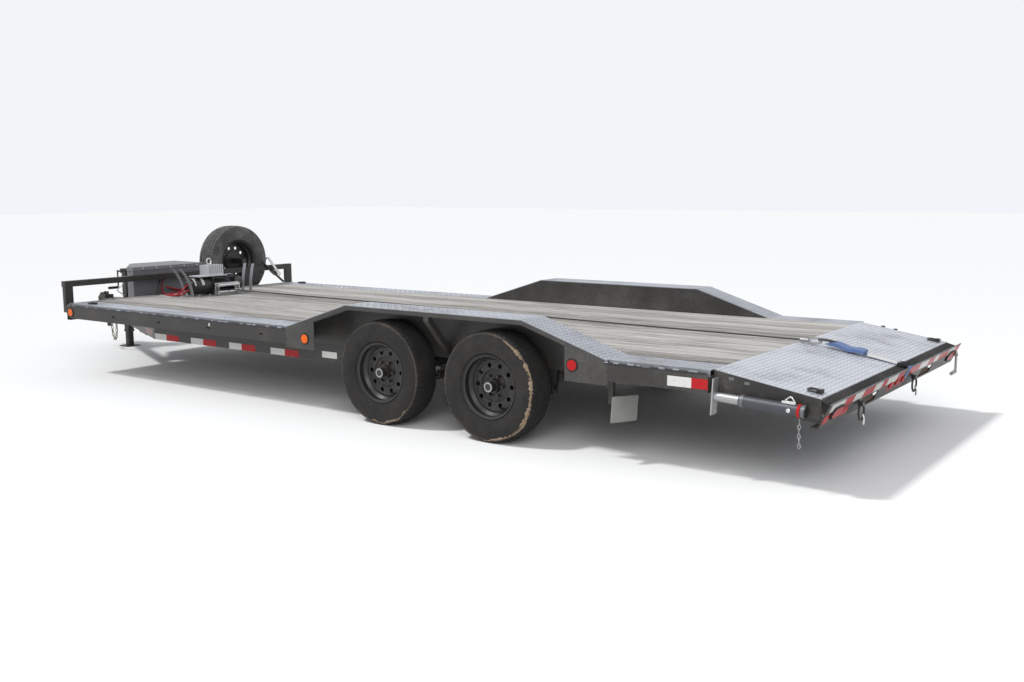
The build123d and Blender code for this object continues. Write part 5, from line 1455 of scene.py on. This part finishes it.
@dataclass
class WinchDetails:
    """Rope wraps, bolts, bands and cables of the winch, and the loose iron round it."""

    rope_radius: float = 0.005
    drum_half: float = 0.116
    drum_radius: float = 0.0385
    wrap_radius: float = 0.043
    motor_radius: float = 0.0755
    rope_y: float = -0.02
    ribs: Pairs = ((-0.006, 0.0), (-0.005, 0.002), (0.005, 0.002), (0.006, 0.0))
    fine_ribs: Pairs = ((-0.003, 0.0), (0.0, 0.0013), (0.003, 0.0))
    motor_end: float = 0.33
    cable_radius: float = 0.008
    axis_height: float = 0.092
    lying: float = 0.616
    strand_steps: int = 900
    first_steps: int = 60
    lay_depth: float = 0.06
    lay_turn: float = 1.9
    patch_radius: float = 0.0778

    @property
    def axis(self) -> tuple[float, float]:
        """The drum's and motor's shared axis: its place along X and its height."""
        return middle("winch_mount")[0], low("winch_mount")[2] + self.axis_height

    def rope(self) -> None:
        """Replaces the smooth rope by wound turns and a laid strand down the deck."""
        x, z = self.axis
        radius, half, y = self.rope_radius, self.drum_half, self.rope_y
        turns = int(half / radius)
        angle = np.linspace(0, 2 * np.pi * turns, turns * 28)
        across = np.linspace(radius - half, half - radius, len(angle))
        reach = self.wrap_radius
        coil = np.column_stack([x + reach * np.sin(angle), across, z - reach * np.cos(angle)])
        surface = Surface().tube(coil, radius * 1.02, 8)
        roller, hook = low("winch_fairlead")[0] + 0.016, low("winch_rope")[0]
        drum, bend, end = np.array([(x, y, z - reach), (roller, y, 0.656), (hook, y, 0.622)])
        span = np.linspace(0, 1, self.strand_steps)[:, None]
        first = span[: self.first_steps]
        run = np.vstack([(drum + (bend - drum) * first / first[-1])[:-1], bend + (end - bend) * span])
        surface.tube(run, radius * (1 + self.lay_depth * np.sin(np.arange(len(run)) * self.lay_turn)), 8)
        surface.revolve([(self.drum_radius, -half), (self.drum_radius, half)], (x, 0, z), (0, 1, 0), 48)
        made = surface.make("wound_rope", Coat.ROPE, "dark_rope")
        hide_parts("winch_rope")

    def loose_iron(self) -> None:
        """The winch's shackle, the lever over the front bar, the leaning rods and two white patches on the
        motor.
        """
        x, z = self.axis
        turn = np.linspace(-0.25 * np.pi, 1.25 * np.pi, 30)
        centre = np.array([x, 0.105, high("winch_control_box")[2] + 0.036])
        bow = centre + 0.024 * np.column_stack([0 * turn, np.cos(turn), np.sin(turn)])
        bow = [centre + (0, 0.015, -0.034), *bow, centre + (0, -0.015, -0.034)]
        shackle = Surface().tube(bow, 0.0065, 12)
        shackle.tube([centre + (0, 0.031, -0.026), centre + (0, -0.031, -0.026)], 0.0055, 12)
        shackle.make("winch_shackle", Coat.BRIGHT, "bright_steel")
        bar, top = low("headache_bar")[0], high("headache_bar")[2]
        start, end = np.array([bar - 0.005, -0.955, top + 0.03]), np.array([bar - 0.005, -1.1, 0.691])
        along, reach = unit(end - start), float(np.linalg.norm(end - start))
        handle = Surface().boxes(
            [(0, -0.013, -0.004), (reach - 0.06, -0.018, -0.006)],
            [(reach, 0.013, 0.004), (reach, 0.018, 0.006)],
        )
        frame = np.stack([along, np.cross((1, 0, 0), along), (1, 0, 0)])[None]
        lever = Surface().scatter(handle, start, frame)
        bend = [start, (bar + 0.01, -0.948, top + 0.034), (bar + 0.03, -0.944, top + 0.012)]
        lever.tube(curve_through(bend, 8), 0.006)
        lever.make("hung_lever", Coat.BRIGHT, "bright_steel", bevel=0.0012)
        rods = Surface()
        for top_y, foot_y in ((0.258, 0.392), (0.297, 0.412)):
            rods.tube([(bar + 0.087, top_y, 0.742), (bar - 0.008, foot_y, 0.6125)], 0.0048, 10)
        rods.make("leaning_rods", Coat.WINCH_BLACK, "frame_paint")
        # Two white patches on the motor's upper rear side.
        angle, radius = np.radians(np.linspace(112, 172, 14))[:, None], self.patch_radius
        patches = Surface()
        for ends in ((0.218, 0.246), (0.31, 0.326)):
            y = np.linspace(*ends, 3)[None, :] + 0 * angle
            out, up = radius * np.cos(angle), radius * np.sin(angle)
            patches.grid(np.stack([x + out + 0 * y, y, z + up + 0 * y], -1))
        patches.make("motor_patches", Coat.TAG, "winch_paint")

    def fixings(self) -> None:
        """Bolts on the motor, plates, cover and fairlead, the motor's bands and the cover's ribs."""
        x, z = self.axis
        body_low, body_high = low("winch_body"), high("winch_body")
        tray_low, tray_high = low("winch_mount"), high("winch_mount")
        guide_low, guide_high = low("winch_fairlead"), high("winch_fairlead")
        heads = Surface()
        motor, gears = (x, body_high[1], z), (x, body_low[1] + 0.008, z)
        heads.heads(turned(np.add(motor, (0.055, 0, 0)), motor, 4, 0.785), (0, 1, 0), 0.007, 0.006)
        heads.heads(turned(np.add(gears, (0.05, 0, 0)), gears, 8, 0.2), (0, -1, 0), 0.0055, 0.005)
        sides = (tray_low[0] + 0.016, tray_high[0] - 0.016)
        feet = [(px, py, self.lying) for px in sides for py in (-0.29, -0.17, 0.17, 0.29)]
        heads.heads(feet, (0, 0, 1), 0.01, 0.008)
        face = guide_low[0] + 0.034
        levels = (guide_low[2] + 0.016, guide_high[2] - 0.014)
        guide = [(face, py, pz) for py in (-0.119, 0.119) for pz in levels]
        heads.heads(guide, (-1, 0, 0), 0.007, 0.006)
        for side in (-1, 1):
            ends = [(guide_low[0] + 0.0155, side * 0.1265, pz) for pz in (0.638, 0.698)]
            heads.heads(ends, (0, side, 0), 0.009, 0.005)
        heads.make("winch_bolts", Coat.ZINC, "jack_steel")
        bands, fine_places = Surface(), np.arange(0.208, 0.286, 0.011)
        for places, profile in (((0.15, 0.19, 0.3), self.ribs), (fine_places, self.fine_ribs)):
            for y in places:
                rib = [(self.motor_radius + rise, along) for along, rise in profile]
                bands.revolve(rib, (x, y, z), (0, 1, 0), 64, closed=True)
        bands.make("motor_bands", Coat.WINCH_BLACK, "winch_paint")
        top = high("winch_control_box")[2]
        ribs = np.arange(0.0, 0.15, 0.022)
        cover = Surface().boxes(
            [(x - 0.055, y, top - 0.078) for y in ribs], [(x + 0.055, y + 0.006, top - 0.0005) for y in ribs]
        )
        cover.boxes([(x - 0.03, 0.02, top - 0.001)], [(x + 0.03, 0.13, top - 0.0001)])
        cover.make("cover_ribs", Coat.WINCH_GREY, "winch_paint", bevel=0.0012)

    def leads(self) -> None:
        """Lays both battery cables from the motor to the toolbox."""
        (x, z), y, front = self.axis, self.motor_end, high("deck_planks")[0]
        lying, box_rear, box_top = self.lying, low("toolbox")[0], high("toolbox")[2]
        self.lead("upper", [
            (x + 0.01, y, z + 0.02), (x + 0.01, y + 0.022, z + 0.02), (x + 0.02, y + 0.076, lying + 0.034),
            (x + 0.11, y + 0.084, lying), (x + 0.19, y + 0.072, lying), (front - 0.096, y + 0.026, lying),
            (front - 0.03, 0.32, lying), (front + 0.04, 0.29, lying + 0.006),
            (box_rear - 0.022, 0.262, lying + 0.054),
            (box_rear - 0.022, 0.245, box_top - 0.095), (box_rear, 0.245, box_top - 0.095),
        ])
        self.lead("lower", [
            (x + 0.01, y, z - 0.034), (x + 0.01, y + 0.022, z - 0.034), (x + 0.04, y + 0.054, lying + 0.01),
            (x + 0.11, y + 0.054, lying), (x + 0.19, y + 0.036, lying), (front - 0.096, y - 0.008, lying),
            (front - 0.03, 0.196, lying), (front + 0.008, 0.03, lying), (front + 0.012, -0.014, lying),
            (front + 0.062, -0.012, lying + 0.001), (front + 0.066, 0.03, lying + 0.004),
            (box_rear - 0.022, 0.12, lying + 0.02), (box_rear - 0.022, 0.195, box_top - 0.175),
            (box_rear, 0.195, box_top - 0.175),
        ])

    def lead(self, name: str, route: list[Triple]) -> None:
        """Makes one cable.

        Args:
            name: Which of the two.
            route: Control points from the motor to the toolbox.
        """
        data = bpy.data.curves.new(f"lead_{name}", "CURVE")
        data.dimensions, data.bevel_depth, data.bevel_resolution = "3D", self.cable_radius, 4
        data.use_fill_caps = True
        spline = data.splines.new("NURBS")
        spline.points.add(len(route) - 1)
        weighted = np.column_stack([route, np.ones(len(route))]).astype(np.float32)
        spline.points.foreach_set("co", weighted.ravel())
        spline.order_u, spline.resolution_u, spline.use_endpoint_u = 3, 10, True
        data.materials.append(Coat.RED_CABLE.material())
        made = placed(f"lead_{name}", data)
        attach(made, "trailer")
        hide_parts(f"winch_lead_{name}")
        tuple(route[0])

    def build(self) -> None:
        """Adds the rope, the loose iron, the fixings and the cables."""
        self.rope()
        self.loose_iron()
        self.fixings()
        self.leads()


@dataclass
class StrapDetails:
    """Padded blue sleeve, webbing, ratchet and end fittings along the strap."""

    blue: tuple[float, float] = (-3.600, -3.815)
    white: tuple[float, float] = (-3.83, -4.03)
    blue_size: tuple[float, float] = (0.088, 0.024)
    white_size: tuple[float, float] = (0.054, 0.005)
    middle_y: float = -0.072
    rear_height: float = 0.503
    frame_sides: tuple[float, float] = (-0.101, -0.047)

    def top(self, x: float) -> float:
        """Height of the strap's upper face at a station."""
        start, end = high("tie_strap"), low("tie_strap")
        return start[2] + (start[0] - x) / (start[0] - end[0]) * (self.rear_height - start[2])

    def sleeve(self, span: tuple[float, float], thick: float) -> np.ndarray:
        """Path of a sleeve laid over the strap."""
        x = np.linspace(*span, 14)
        return np.column_stack([x, np.full_like(x, self.middle_y), self.top(x) + thick / 2 - 0.002])

    def build(self) -> None:
        """Adds the sleeve, the pale webbing and the dark hardware."""
        path = self.sleeve(self.blue, 0.022)
        path[:, 2] += 0.005 * np.sin(np.linspace(0, 9, len(path)))
        sleeve = Surface().band(path, *self.blue_size, (0, 1, 0))
        sleeve.make("strap_sleeve", Coat.STRAP, "blue_webbing", bevel=0.003)
        webbing = Surface().band(self.sleeve(self.white, 0.006), *self.white_size, (0, 1, 0))
        webbing.make("strap_webbing", Coat.TAPE_WHITE, "blue_webbing")
        x0, x1 = low("tie_strap")[0] + 0.012, low("tie_strap")[0] + 0.075
        hardware = Surface().boxes(
            [(x0, y, self.top(x0) - 0.002) for y in self.frame_sides],
            [(x1, y + 0.004, self.top(x1) + 0.012) for y in self.frame_sides],
        )
        for x in (x0 + 0.012, x1 - 0.014):
            hardware.tube([(x, -0.103, self.top(x) + 0.008), (x, -0.041, self.top(x) + 0.008)], 0.005, 12)
        hook = low("tow_hook")[0]
        for y in (-0.018, 0.014):
            bend = [
                (hook + 0.02, -0.02 + y, 0.634),
                (hook - 0.04, -0.04 + y, 0.626),
                (hook - 0.1, -0.066 + y, 0.604),
            ]
            hardware.tube(curve_through(bend, 8), 0.006, 8)
        hardware.make("strap_hardware", Coat.WINCH_BLACK, "winch_paint", bevel=0.002)


# Boxes, jacks and running gear


@dataclass
class ToolboxDetails:
    """Rivets, latch, seams and the lid's rim."""

    rivets: tuple[float, ...] = (-0.16, -0.01, 0.146, 0.302, 0.449)
    rivet: Pairs = ((0.008, 0), (0.007, 0.0025), (0.0035, 0.004), (0.0, 0.0042))
    latch_dial: Pairs = ((0.026, 0), (0.026, 0.004), (0.02, 0.006), (0.008, 0.006))

    def build(self) -> None:
        """Adds pieces to the box and to its lid."""
        (x0, y0, z0), (x1, y1, z1) = low("toolbox"), high("toolbox")
        (lid_x0, lid_y0, lid_z0), lid_x1 = low("toolbox_lid"), high("toolbox_lid")[0]
        spots = [(lid_x0 + 0.0003, y, lid_z0 + 0.014) for y in self.rivets]
        rivet = Surface().revolve(self.rivet, segments=14)
        rivets = Surface().scatter(rivet, spots, facing((-1, 0, 0), len(spots)))
        rivets.make("lid_rivets", Coat.BRIGHT, "bright_steel", "toolbox_lid")
        rim = Surface().boxes(
            [(lid_x1 - 0.003, lid_y0 + 0.004, lid_z0 - 0.03), (lid_x0 + 0.004, lid_y0, lid_z0 - 0.03)],
            [(lid_x1, 0.25, lid_z0 + 0.002), (lid_x1 - 0.004, lid_y0 + 0.003, lid_z0 + 0.002)],
        )
        rim.make("lid_rim", Coat.TOOLBOX, "box_paint", "toolbox_lid", smooth=False)
        latch = Surface().boxes([(x1 - 0.001, -0.06, z1 - 0.13)], [(x1 + 0.003, 0.05, z1 - 0.05)])
        latch.revolve(self.latch_dial, (x1 + 0.003, -0.005, z1 - 0.09), (1, 0, 0), 32)
        latch.make("box_latch", Coat.BRIGHT, "bright_steel", bevel=0.0008)
        seam = Surface().boxes(
            [(x0 + 0.001, y0 - 0.0012, z0), (x0 - 0.0012, y0, z0)],
            [(x1, y0 + 0.0005, z0 + 0.022), (x0 + 0.0005, y1, z0 + 0.022)],
        )
        seam.make("box_seams", Coat.TOOLBOX, "box_paint", smooth=False)


@dataclass
class JackDetails:
    """Bands, brackets and pins of the front jack and the rear jacks."""

    tilt: float = math.radians(3)
    pivot: Triple = (0.224, 1.2595, 0.444)
    band_places: tuple[float, float] = (-0.072, 0.262)
    band: Pairs = ((0.0328, -0.01), (0.0352, -0.009), (0.0352, 0.009), (0.0328, 0.01))
    ring: Pairs = ((0.0345, -0.008), (0.037, -0.006), (0.037, 0.006), (0.0345, 0.008))
    pin_head: Pairs = ((0.012, 0), (0.012, 0.005), (0.009, 0.007), (0.004, 0.0095), (0.0, 0.0098))
    grip: Pairs = ((0.012, 0), (0.0135, 0.004), (0.0135, 0.1), (0.012, 0.104))

    def rear(self, side: int, name: str) -> None:
        """Clamp bands, red pin ring and pin of one rear jack."""
        body = f"rear_jack_{name}"
        lean = np.array([math.cos(self.tilt), 0, math.sin(self.tilt)])
        pivot = np.array(self.pivot) * (1, side, 1) + (low("rear_bumper")[0], 0, 0)
        bands = Surface()
        for reach in self.band_places:
            bands.revolve(self.band, pivot + lean * reach, lean, 48, closed=True)
        bands.make(f"rear_jack_bands_{name}", Coat.GALVANISED, "grey_steel", body)
        ring = Surface().revolve(self.ring, pivot - lean * 0.05, lean, 48, closed=True)
        ring.make(f"rear_jack_ring_{name}", Coat.TAPE_RED, "red_lens", body)
        pin = Surface().revolve(self.pin_head, pivot + (0, side * 0.032, 0), (0, side, 0), 24)
        foot = pivot + (0, 0, 0.033)
        pin.boxes([foot + (-0.03, -0.012, -0.004)], [foot + (0.045, 0.012, 0.012)])
        bow = [foot + (-0.02, 0, 0.01), foot + (0, 0, 0.032), foot + (0.03, 0, 0.012)]
        pin.tube(curve_through(bow, 8), 0.0045, 8)
        pin.make(f"rear_jack_pin_{name}", Coat.BRIGHT, "bright_steel", body, bevel=0.0012)

    def front(self) -> None:
        """Collars and grip of the front jack."""
        x, foot, half = middle("jack_leg")[0], low("jack_housing")[2], 0.036
        heights = ((foot - 0.001, foot + 0.02), (0.36, 0.372))
        collar = Surface().boxes(
            [(x - half, -half, z) for z, _ in heights], [(x + half, half, z) for _, z in heights]
        )
        collar.make("jack_collars", Coat.FRAME, "frame_paint", bevel=0.001)
        grip = Surface().revolve(self.grip, (x, 0.104, 0.605), (0, 1, 0), 24)
        grip.make("jack_grip", Coat.RUBBER, "tyre_rubber")

    def build(self) -> None:
        """Both rear jacks and the front one."""
        self.rear(1, "left")
        self.rear(-1, "right")
        self.front()


@dataclass
class RunningGearFixings:
    """Nuts on the spring clamps, shackles and hangers."""

    nut: float = 0.011
    half_leaf: float = 0.022
    nut_face: float = 0.0385
    axle_half: float = 0.457
    eye_z: float = 0.327
    end_z: float = 0.393

    def build(self) -> None:
        """Adds nuts under the tie plates and on the shackle and hanger bolts."""
        nuts, centre = Surface(), middle("equalizers")[0]
        spring_y, clamp_low = high("leaf_springs")[1] - self.half_leaf, low("axle_clamps")[2]
        spots = [
            (centre + axle + dx, side * (spring_y + dy), clamp_low + 0.01)
            for axle in (self.axle_half, -self.axle_half)
            for dx in (-0.044, 0.044) for side in (1, -1) for dy in (-0.03, 0.03)
        ]
        nuts.heads(spots, (0, 0, -1), self.nut, 0.01)
        eye, end = self.eye_z, self.end_z
        bolts = ((0.104, end), (0.137, eye), (-0.104, end), (-0.137, eye), (0.777, eye), (0, end + 0.012))
        for side in (1, -1):
            for out in (1, -1):
                face = side * (spring_y + out * self.nut_face)
                nuts.heads([(centre + x, face, z) for x, z in bolts], (0, side * out, 0), self.nut, 0.009)
        nuts.make("running_gear_nuts", Coat.ZINC, "jack_steel")


@dataclass
class TongueDetails:
    """Cables, plug and latch pin on the tongue, and the number plate's screws."""

    on_rail: tuple[Triple, ...] = ((-0.62, 0.17, 0.008), (-0.5, 0.12, 0.016), (-0.34, 0.085, 0.012))
    hanging: tuple[Triple, ...] = ((-0.26, 0.078, 0.44), (-0.25, 0.075, 0.3), (-0.22, 0.06, 0.24))
    plug: Pairs = ((0.008, -0.03), (0.02, -0.012), (0.0225, 0.0), (0.0225, 0.045), (0.019, 0.05))
    screw: Pairs = ((0.006, 0), (0.006, 0.0015), (0.003, 0.003))
    screw_places: Pairs = ((-0.085, 0.052), (0.093, 0.074))

    def build(self) -> None:
        """Adds the light cable with its plug, the breakaway cable, the latch pin and the screws."""
        nose, rail_top = high("coupler")[0], high("tongue_rails")[2]
        lying = [(nose + x, y, rail_top + z) for x, y, z in self.on_rail]
        cable = curve_through([*lying, *[(nose + x, y, z) for x, y, z in self.hanging]], 14)
        Surface().tube(cable, 0.0065, 10).make("light_cable", Coat.RUBBER, "tyre_rubber")
        loop = curve_through([
            (nose - 0.45, 0.05, 0.71), (nose - 0.59, 0.134, 0.643), (nose - 0.585, 0.194, 0.589),
            (nose - 0.59, 0.13, 0.534), (nose - 0.59, 0.165, 0.497), (nose - 0.61, 0.236, rail_top + 0.004),
        ], 12)
        Surface().tube(loop, 0.0045, 10).make("breakaway_cable", Coat.ZINC, "jack_steel")
        plug = Surface().revolve(self.plug, cable[-1], cable[-1] - cable[-3], 28)
        plug.make("light_plug", Coat.WINCH_BLACK, "winch_paint")
        x, z = nose - 0.07, high("coupler")[2] - 0.012
        Surface().tube([(x, -0.05, z), (x, 0.05, z)], 0.005, 12).make("latch_pin", Coat.ZINC, "jack_steel")
        plate, tag = low("number_plate")[0] - 0.0002, middle("number_plate")
        spots = [(plate, tag[1] + dy, tag[2] + dz) for dy, dz in self.screw_places]
        screws = Surface().scatter(Surface().revolve(self.screw, segments=12), spots, facing((-1, 0, 0), 2))
        screws.make("plate_screws", Coat.ZINC, "jack_steel")


@dataclass
class BumperDetails:
    """Worn bright top edge and the ring pins of the bumper."""

    pins: tuple[float, float] = (0.762, -0.24)

    def build(self) -> None:
        """Adds both."""
        (x, y0, _), (_, y1, top) = low("rear_bumper"), high("rear_bumper")
        edge = Surface().boxes([(x - 0.0002, y0, top - 0.004)], [(x + 0.0062, y1, top + 0.0006)])
        edge.make("bumper_edge", Coat.GALVANISED, "grey_steel", smooth=False)
        nails = Surface()
        for y in self.pins:
            hung = [(x + 0.012, y, 0.36), (x + 0.007, y - 0.01, 0.33), (x + 0.01, y - 0.016, 0.3)]
            nails.tube(curve_through(hung, 8), 0.006)
        nails.make("ring_pins", Coat.BRIGHT, "bright_steel")


@dataclass
class DeckEdges:
    """Clips, weld beads and a dark strip along the deck's edges: painted shadow under the edge plate's
    overhang at the front, a dark seam at the rear.
    """

    clips: tuple[Triple, ...] = (
        (-3.011, -3.060, 0.592), (-3.113, -3.155, 0.592), (-3.533, -3.562, 0.576), (-3.620, -3.649, 0.56),
    )
    # Span of a black strip that paints the shadow in the gap under the edge plate.
    gap: tuple[float, float] = (-0.12, 0.62)
    # Runs of black strip with beads: painted shadow under the edge plate at the front, a dark seam at the
    # rear.
    runs: tuple[tuple[float, float, int], ...] = ((-0.12, 2.6, 22), (-3.405, -2.77, 7))
    bead_pitches: tuple[float, float] = (0.07, 0.24)
    bead_lengths: tuple[float, float] = (0.018, 0.06)
    waver: float = 0.0008
    steps: int = 200
    seed: int = 11

    def build(self) -> None:
        """Adds the clips, the dark strip (painted shadow at the front, a seam at the rear) with its broken
        bead and one pale tab.
        """
        clip, dark_strip, beads = Surface(), Surface(), Surface()
        edge_y, top = high("side_rails")[1:]
        for side in (1, -1):
            for start, end, z in self.clips:
                y = side * edge_y
                clip.boxes([(end, y - 0.001, z - 0.006)], [(start, y + 0.0016, z + 0.008)])
        clip.make("edge_clips", Coat.GALVANISED, "grey_steel", bevel=0.0006)
        chance = np.random.default_rng(self.seed)
        for y in (edge_y, -edge_y):
            # Black strip in the gap: painted shadow under the edge plate.
            dark_strip.boxes([(self.gap[0], y - 0.001, top - 0.003)], [(self.gap[1], y + 0.0012, top + 0.0125)])
            for start, end, count in self.runs:
                x = np.cumsum(chance.uniform(*self.bead_pitches, count))
                x = start + x / x[-1] * (end - start)
                length = chance.uniform(*self.bead_lengths, count)
                # Black strip along the run: painted shadow on the front run, a dark seam on the rear run.
                dark_strip.boxes([(start, y - 0.001, top - 0.004)], [(end, y + 0.0009, top + 0.009)])
                along = np.linspace(start, end, self.steps)
                path = np.column_stack([along, np.full((self.steps, 2), (y, top + 0.001))])
                path[:, 2] += chance.normal(0, self.waver, self.steps)
                dark_strip.tube(path, 0.0022, 6)
                lows = np.column_stack([x - length, np.full(count, y - 0.001), np.full(count, top + 0.006)])
                crest = top + 0.0115 + chance.uniform(0, 0.003, count)
                highs = np.column_stack([x, np.full(count, y + 0.002), crest])
                beads.boxes(lows, highs)
        tab = Surface().boxes([(0.706, edge_y - 0.001, 0.55)], [(0.72, edge_y + 0.0012, 0.572)])
        tab.make("pale_tab", Coat.TAG, "plate_blank", smooth=False)
        # The black strips: painted shadow at the front, a dark seam at the rear.
        dark_strip.make("edge_shadow_and_seam", Coat.WINCH_BLACK, "frame_paint", smooth=False)
        beads.make("edge_beads", Coat.PLATE, "tread_plate", bevel=0.0008)


@dataclass
class TornTread:
    """Rubber torn off a tyre's shoulder, showing its pale inside."""

    shoulder: Pairs = (
        (0.1043, 0.3120), (0.1035, 0.3155), (0.1002, 0.3305),
        (0.0975, 0.3405), (0.0935, 0.3462), (0.086, 0.3492),
    )
    columns: int = 6
    rows_per_degree: float = 1.6
    swell: float = 0.0022
    sunk: float = 0.0006
    crumble: float = 0.0003
    seed: int = 5

    def patch(self, name: str, start: float, end: float, width: float) -> None:
        """Adds one torn strip.

        Args:
            name: Which wheel.
            start: First angle in degrees, from forward over the top.
            end: Last angle.
            width: Mean share of the shoulder that is torn.
        """
        chance = np.random.default_rng(self.seed)
        rows, columns = int((end - start) * self.rows_per_degree), self.columns
        angle = np.radians(np.linspace(start, end, rows))[:, None]

        def wander(size: float, knots: int) -> np.ndarray:
            return np.interp(np.linspace(0, 1, rows), np.linspace(0, 1, knots), chance.normal(0, size, knots))

        middle_line = 0.5 + wander(0.09, 14) + wander(0.03, rows // 3)
        taper = np.sqrt(np.clip(np.sin(np.linspace(0.02, np.pi - 0.02, rows)), 0, 1))
        share = width / 2 + wander(width * 0.22, 30) + wander(width * 0.12, rows // 2)
        half = np.clip(share, 0.02, 0.45) * taper
        t = middle_line[:, None] + np.linspace(-1, 1, columns) * half[:, None]
        rise = np.sin(np.linspace(0, np.pi, columns)) * self.swell - self.sunk
        rise = rise + chance.normal(0, self.crumble, (rows, columns))
        section, knots = np.array(self.shoulder), np.linspace(0, 1, len(self.shoulder))
        across = np.interp(t, knots, section[:, 0]) + rise * 0.8
        radius = np.interp(t, knots, section[:, 1]) + rise * 0.6
        centre = middle(f"tyre_{name}")
        side = np.sign(centre[1])
        points = np.stack([radius * np.cos(angle), across * side, radius * np.sin(angle)], -1) + centre
        torn = Surface().grid(points if side < 0 else points[:, ::-1])
        torn.make(f"torn_tyre_{name}", Coat.TORN, "tyre_rubber", f"wheel_{name}")

    def build(self) -> None:
        """A long tear on the rear left tyre and a short one on the front left."""
        self.patch("rear_left", 112, 276, 0.46)
        self.patch("front_left", 222, 286, 0.22)


ASSEMBLIES = (
    TreadPattern,
    DeckFixings,
    Wheels,
    Tapes,
    Lamps,
    SafetyChains,
    WinchDetails,
    StrapDetails,
    ToolboxDetails,
    JackDetails,
    RunningGearFixings,
    TongueDetails,
    BumperDetails,
    DeckEdges,
    TornTread,
)


# Making


def main() -> None:
    """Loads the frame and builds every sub-assembly in order."""
    logging.basicConfig(level=logging.INFO, format="%(message)s")
    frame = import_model()
    Studio().build()
    FrameCoats().build(frame["nodes"])
    for assembly in ASSEMBLIES:
        assembly().build()


if __name__ == "__main__":
    main()
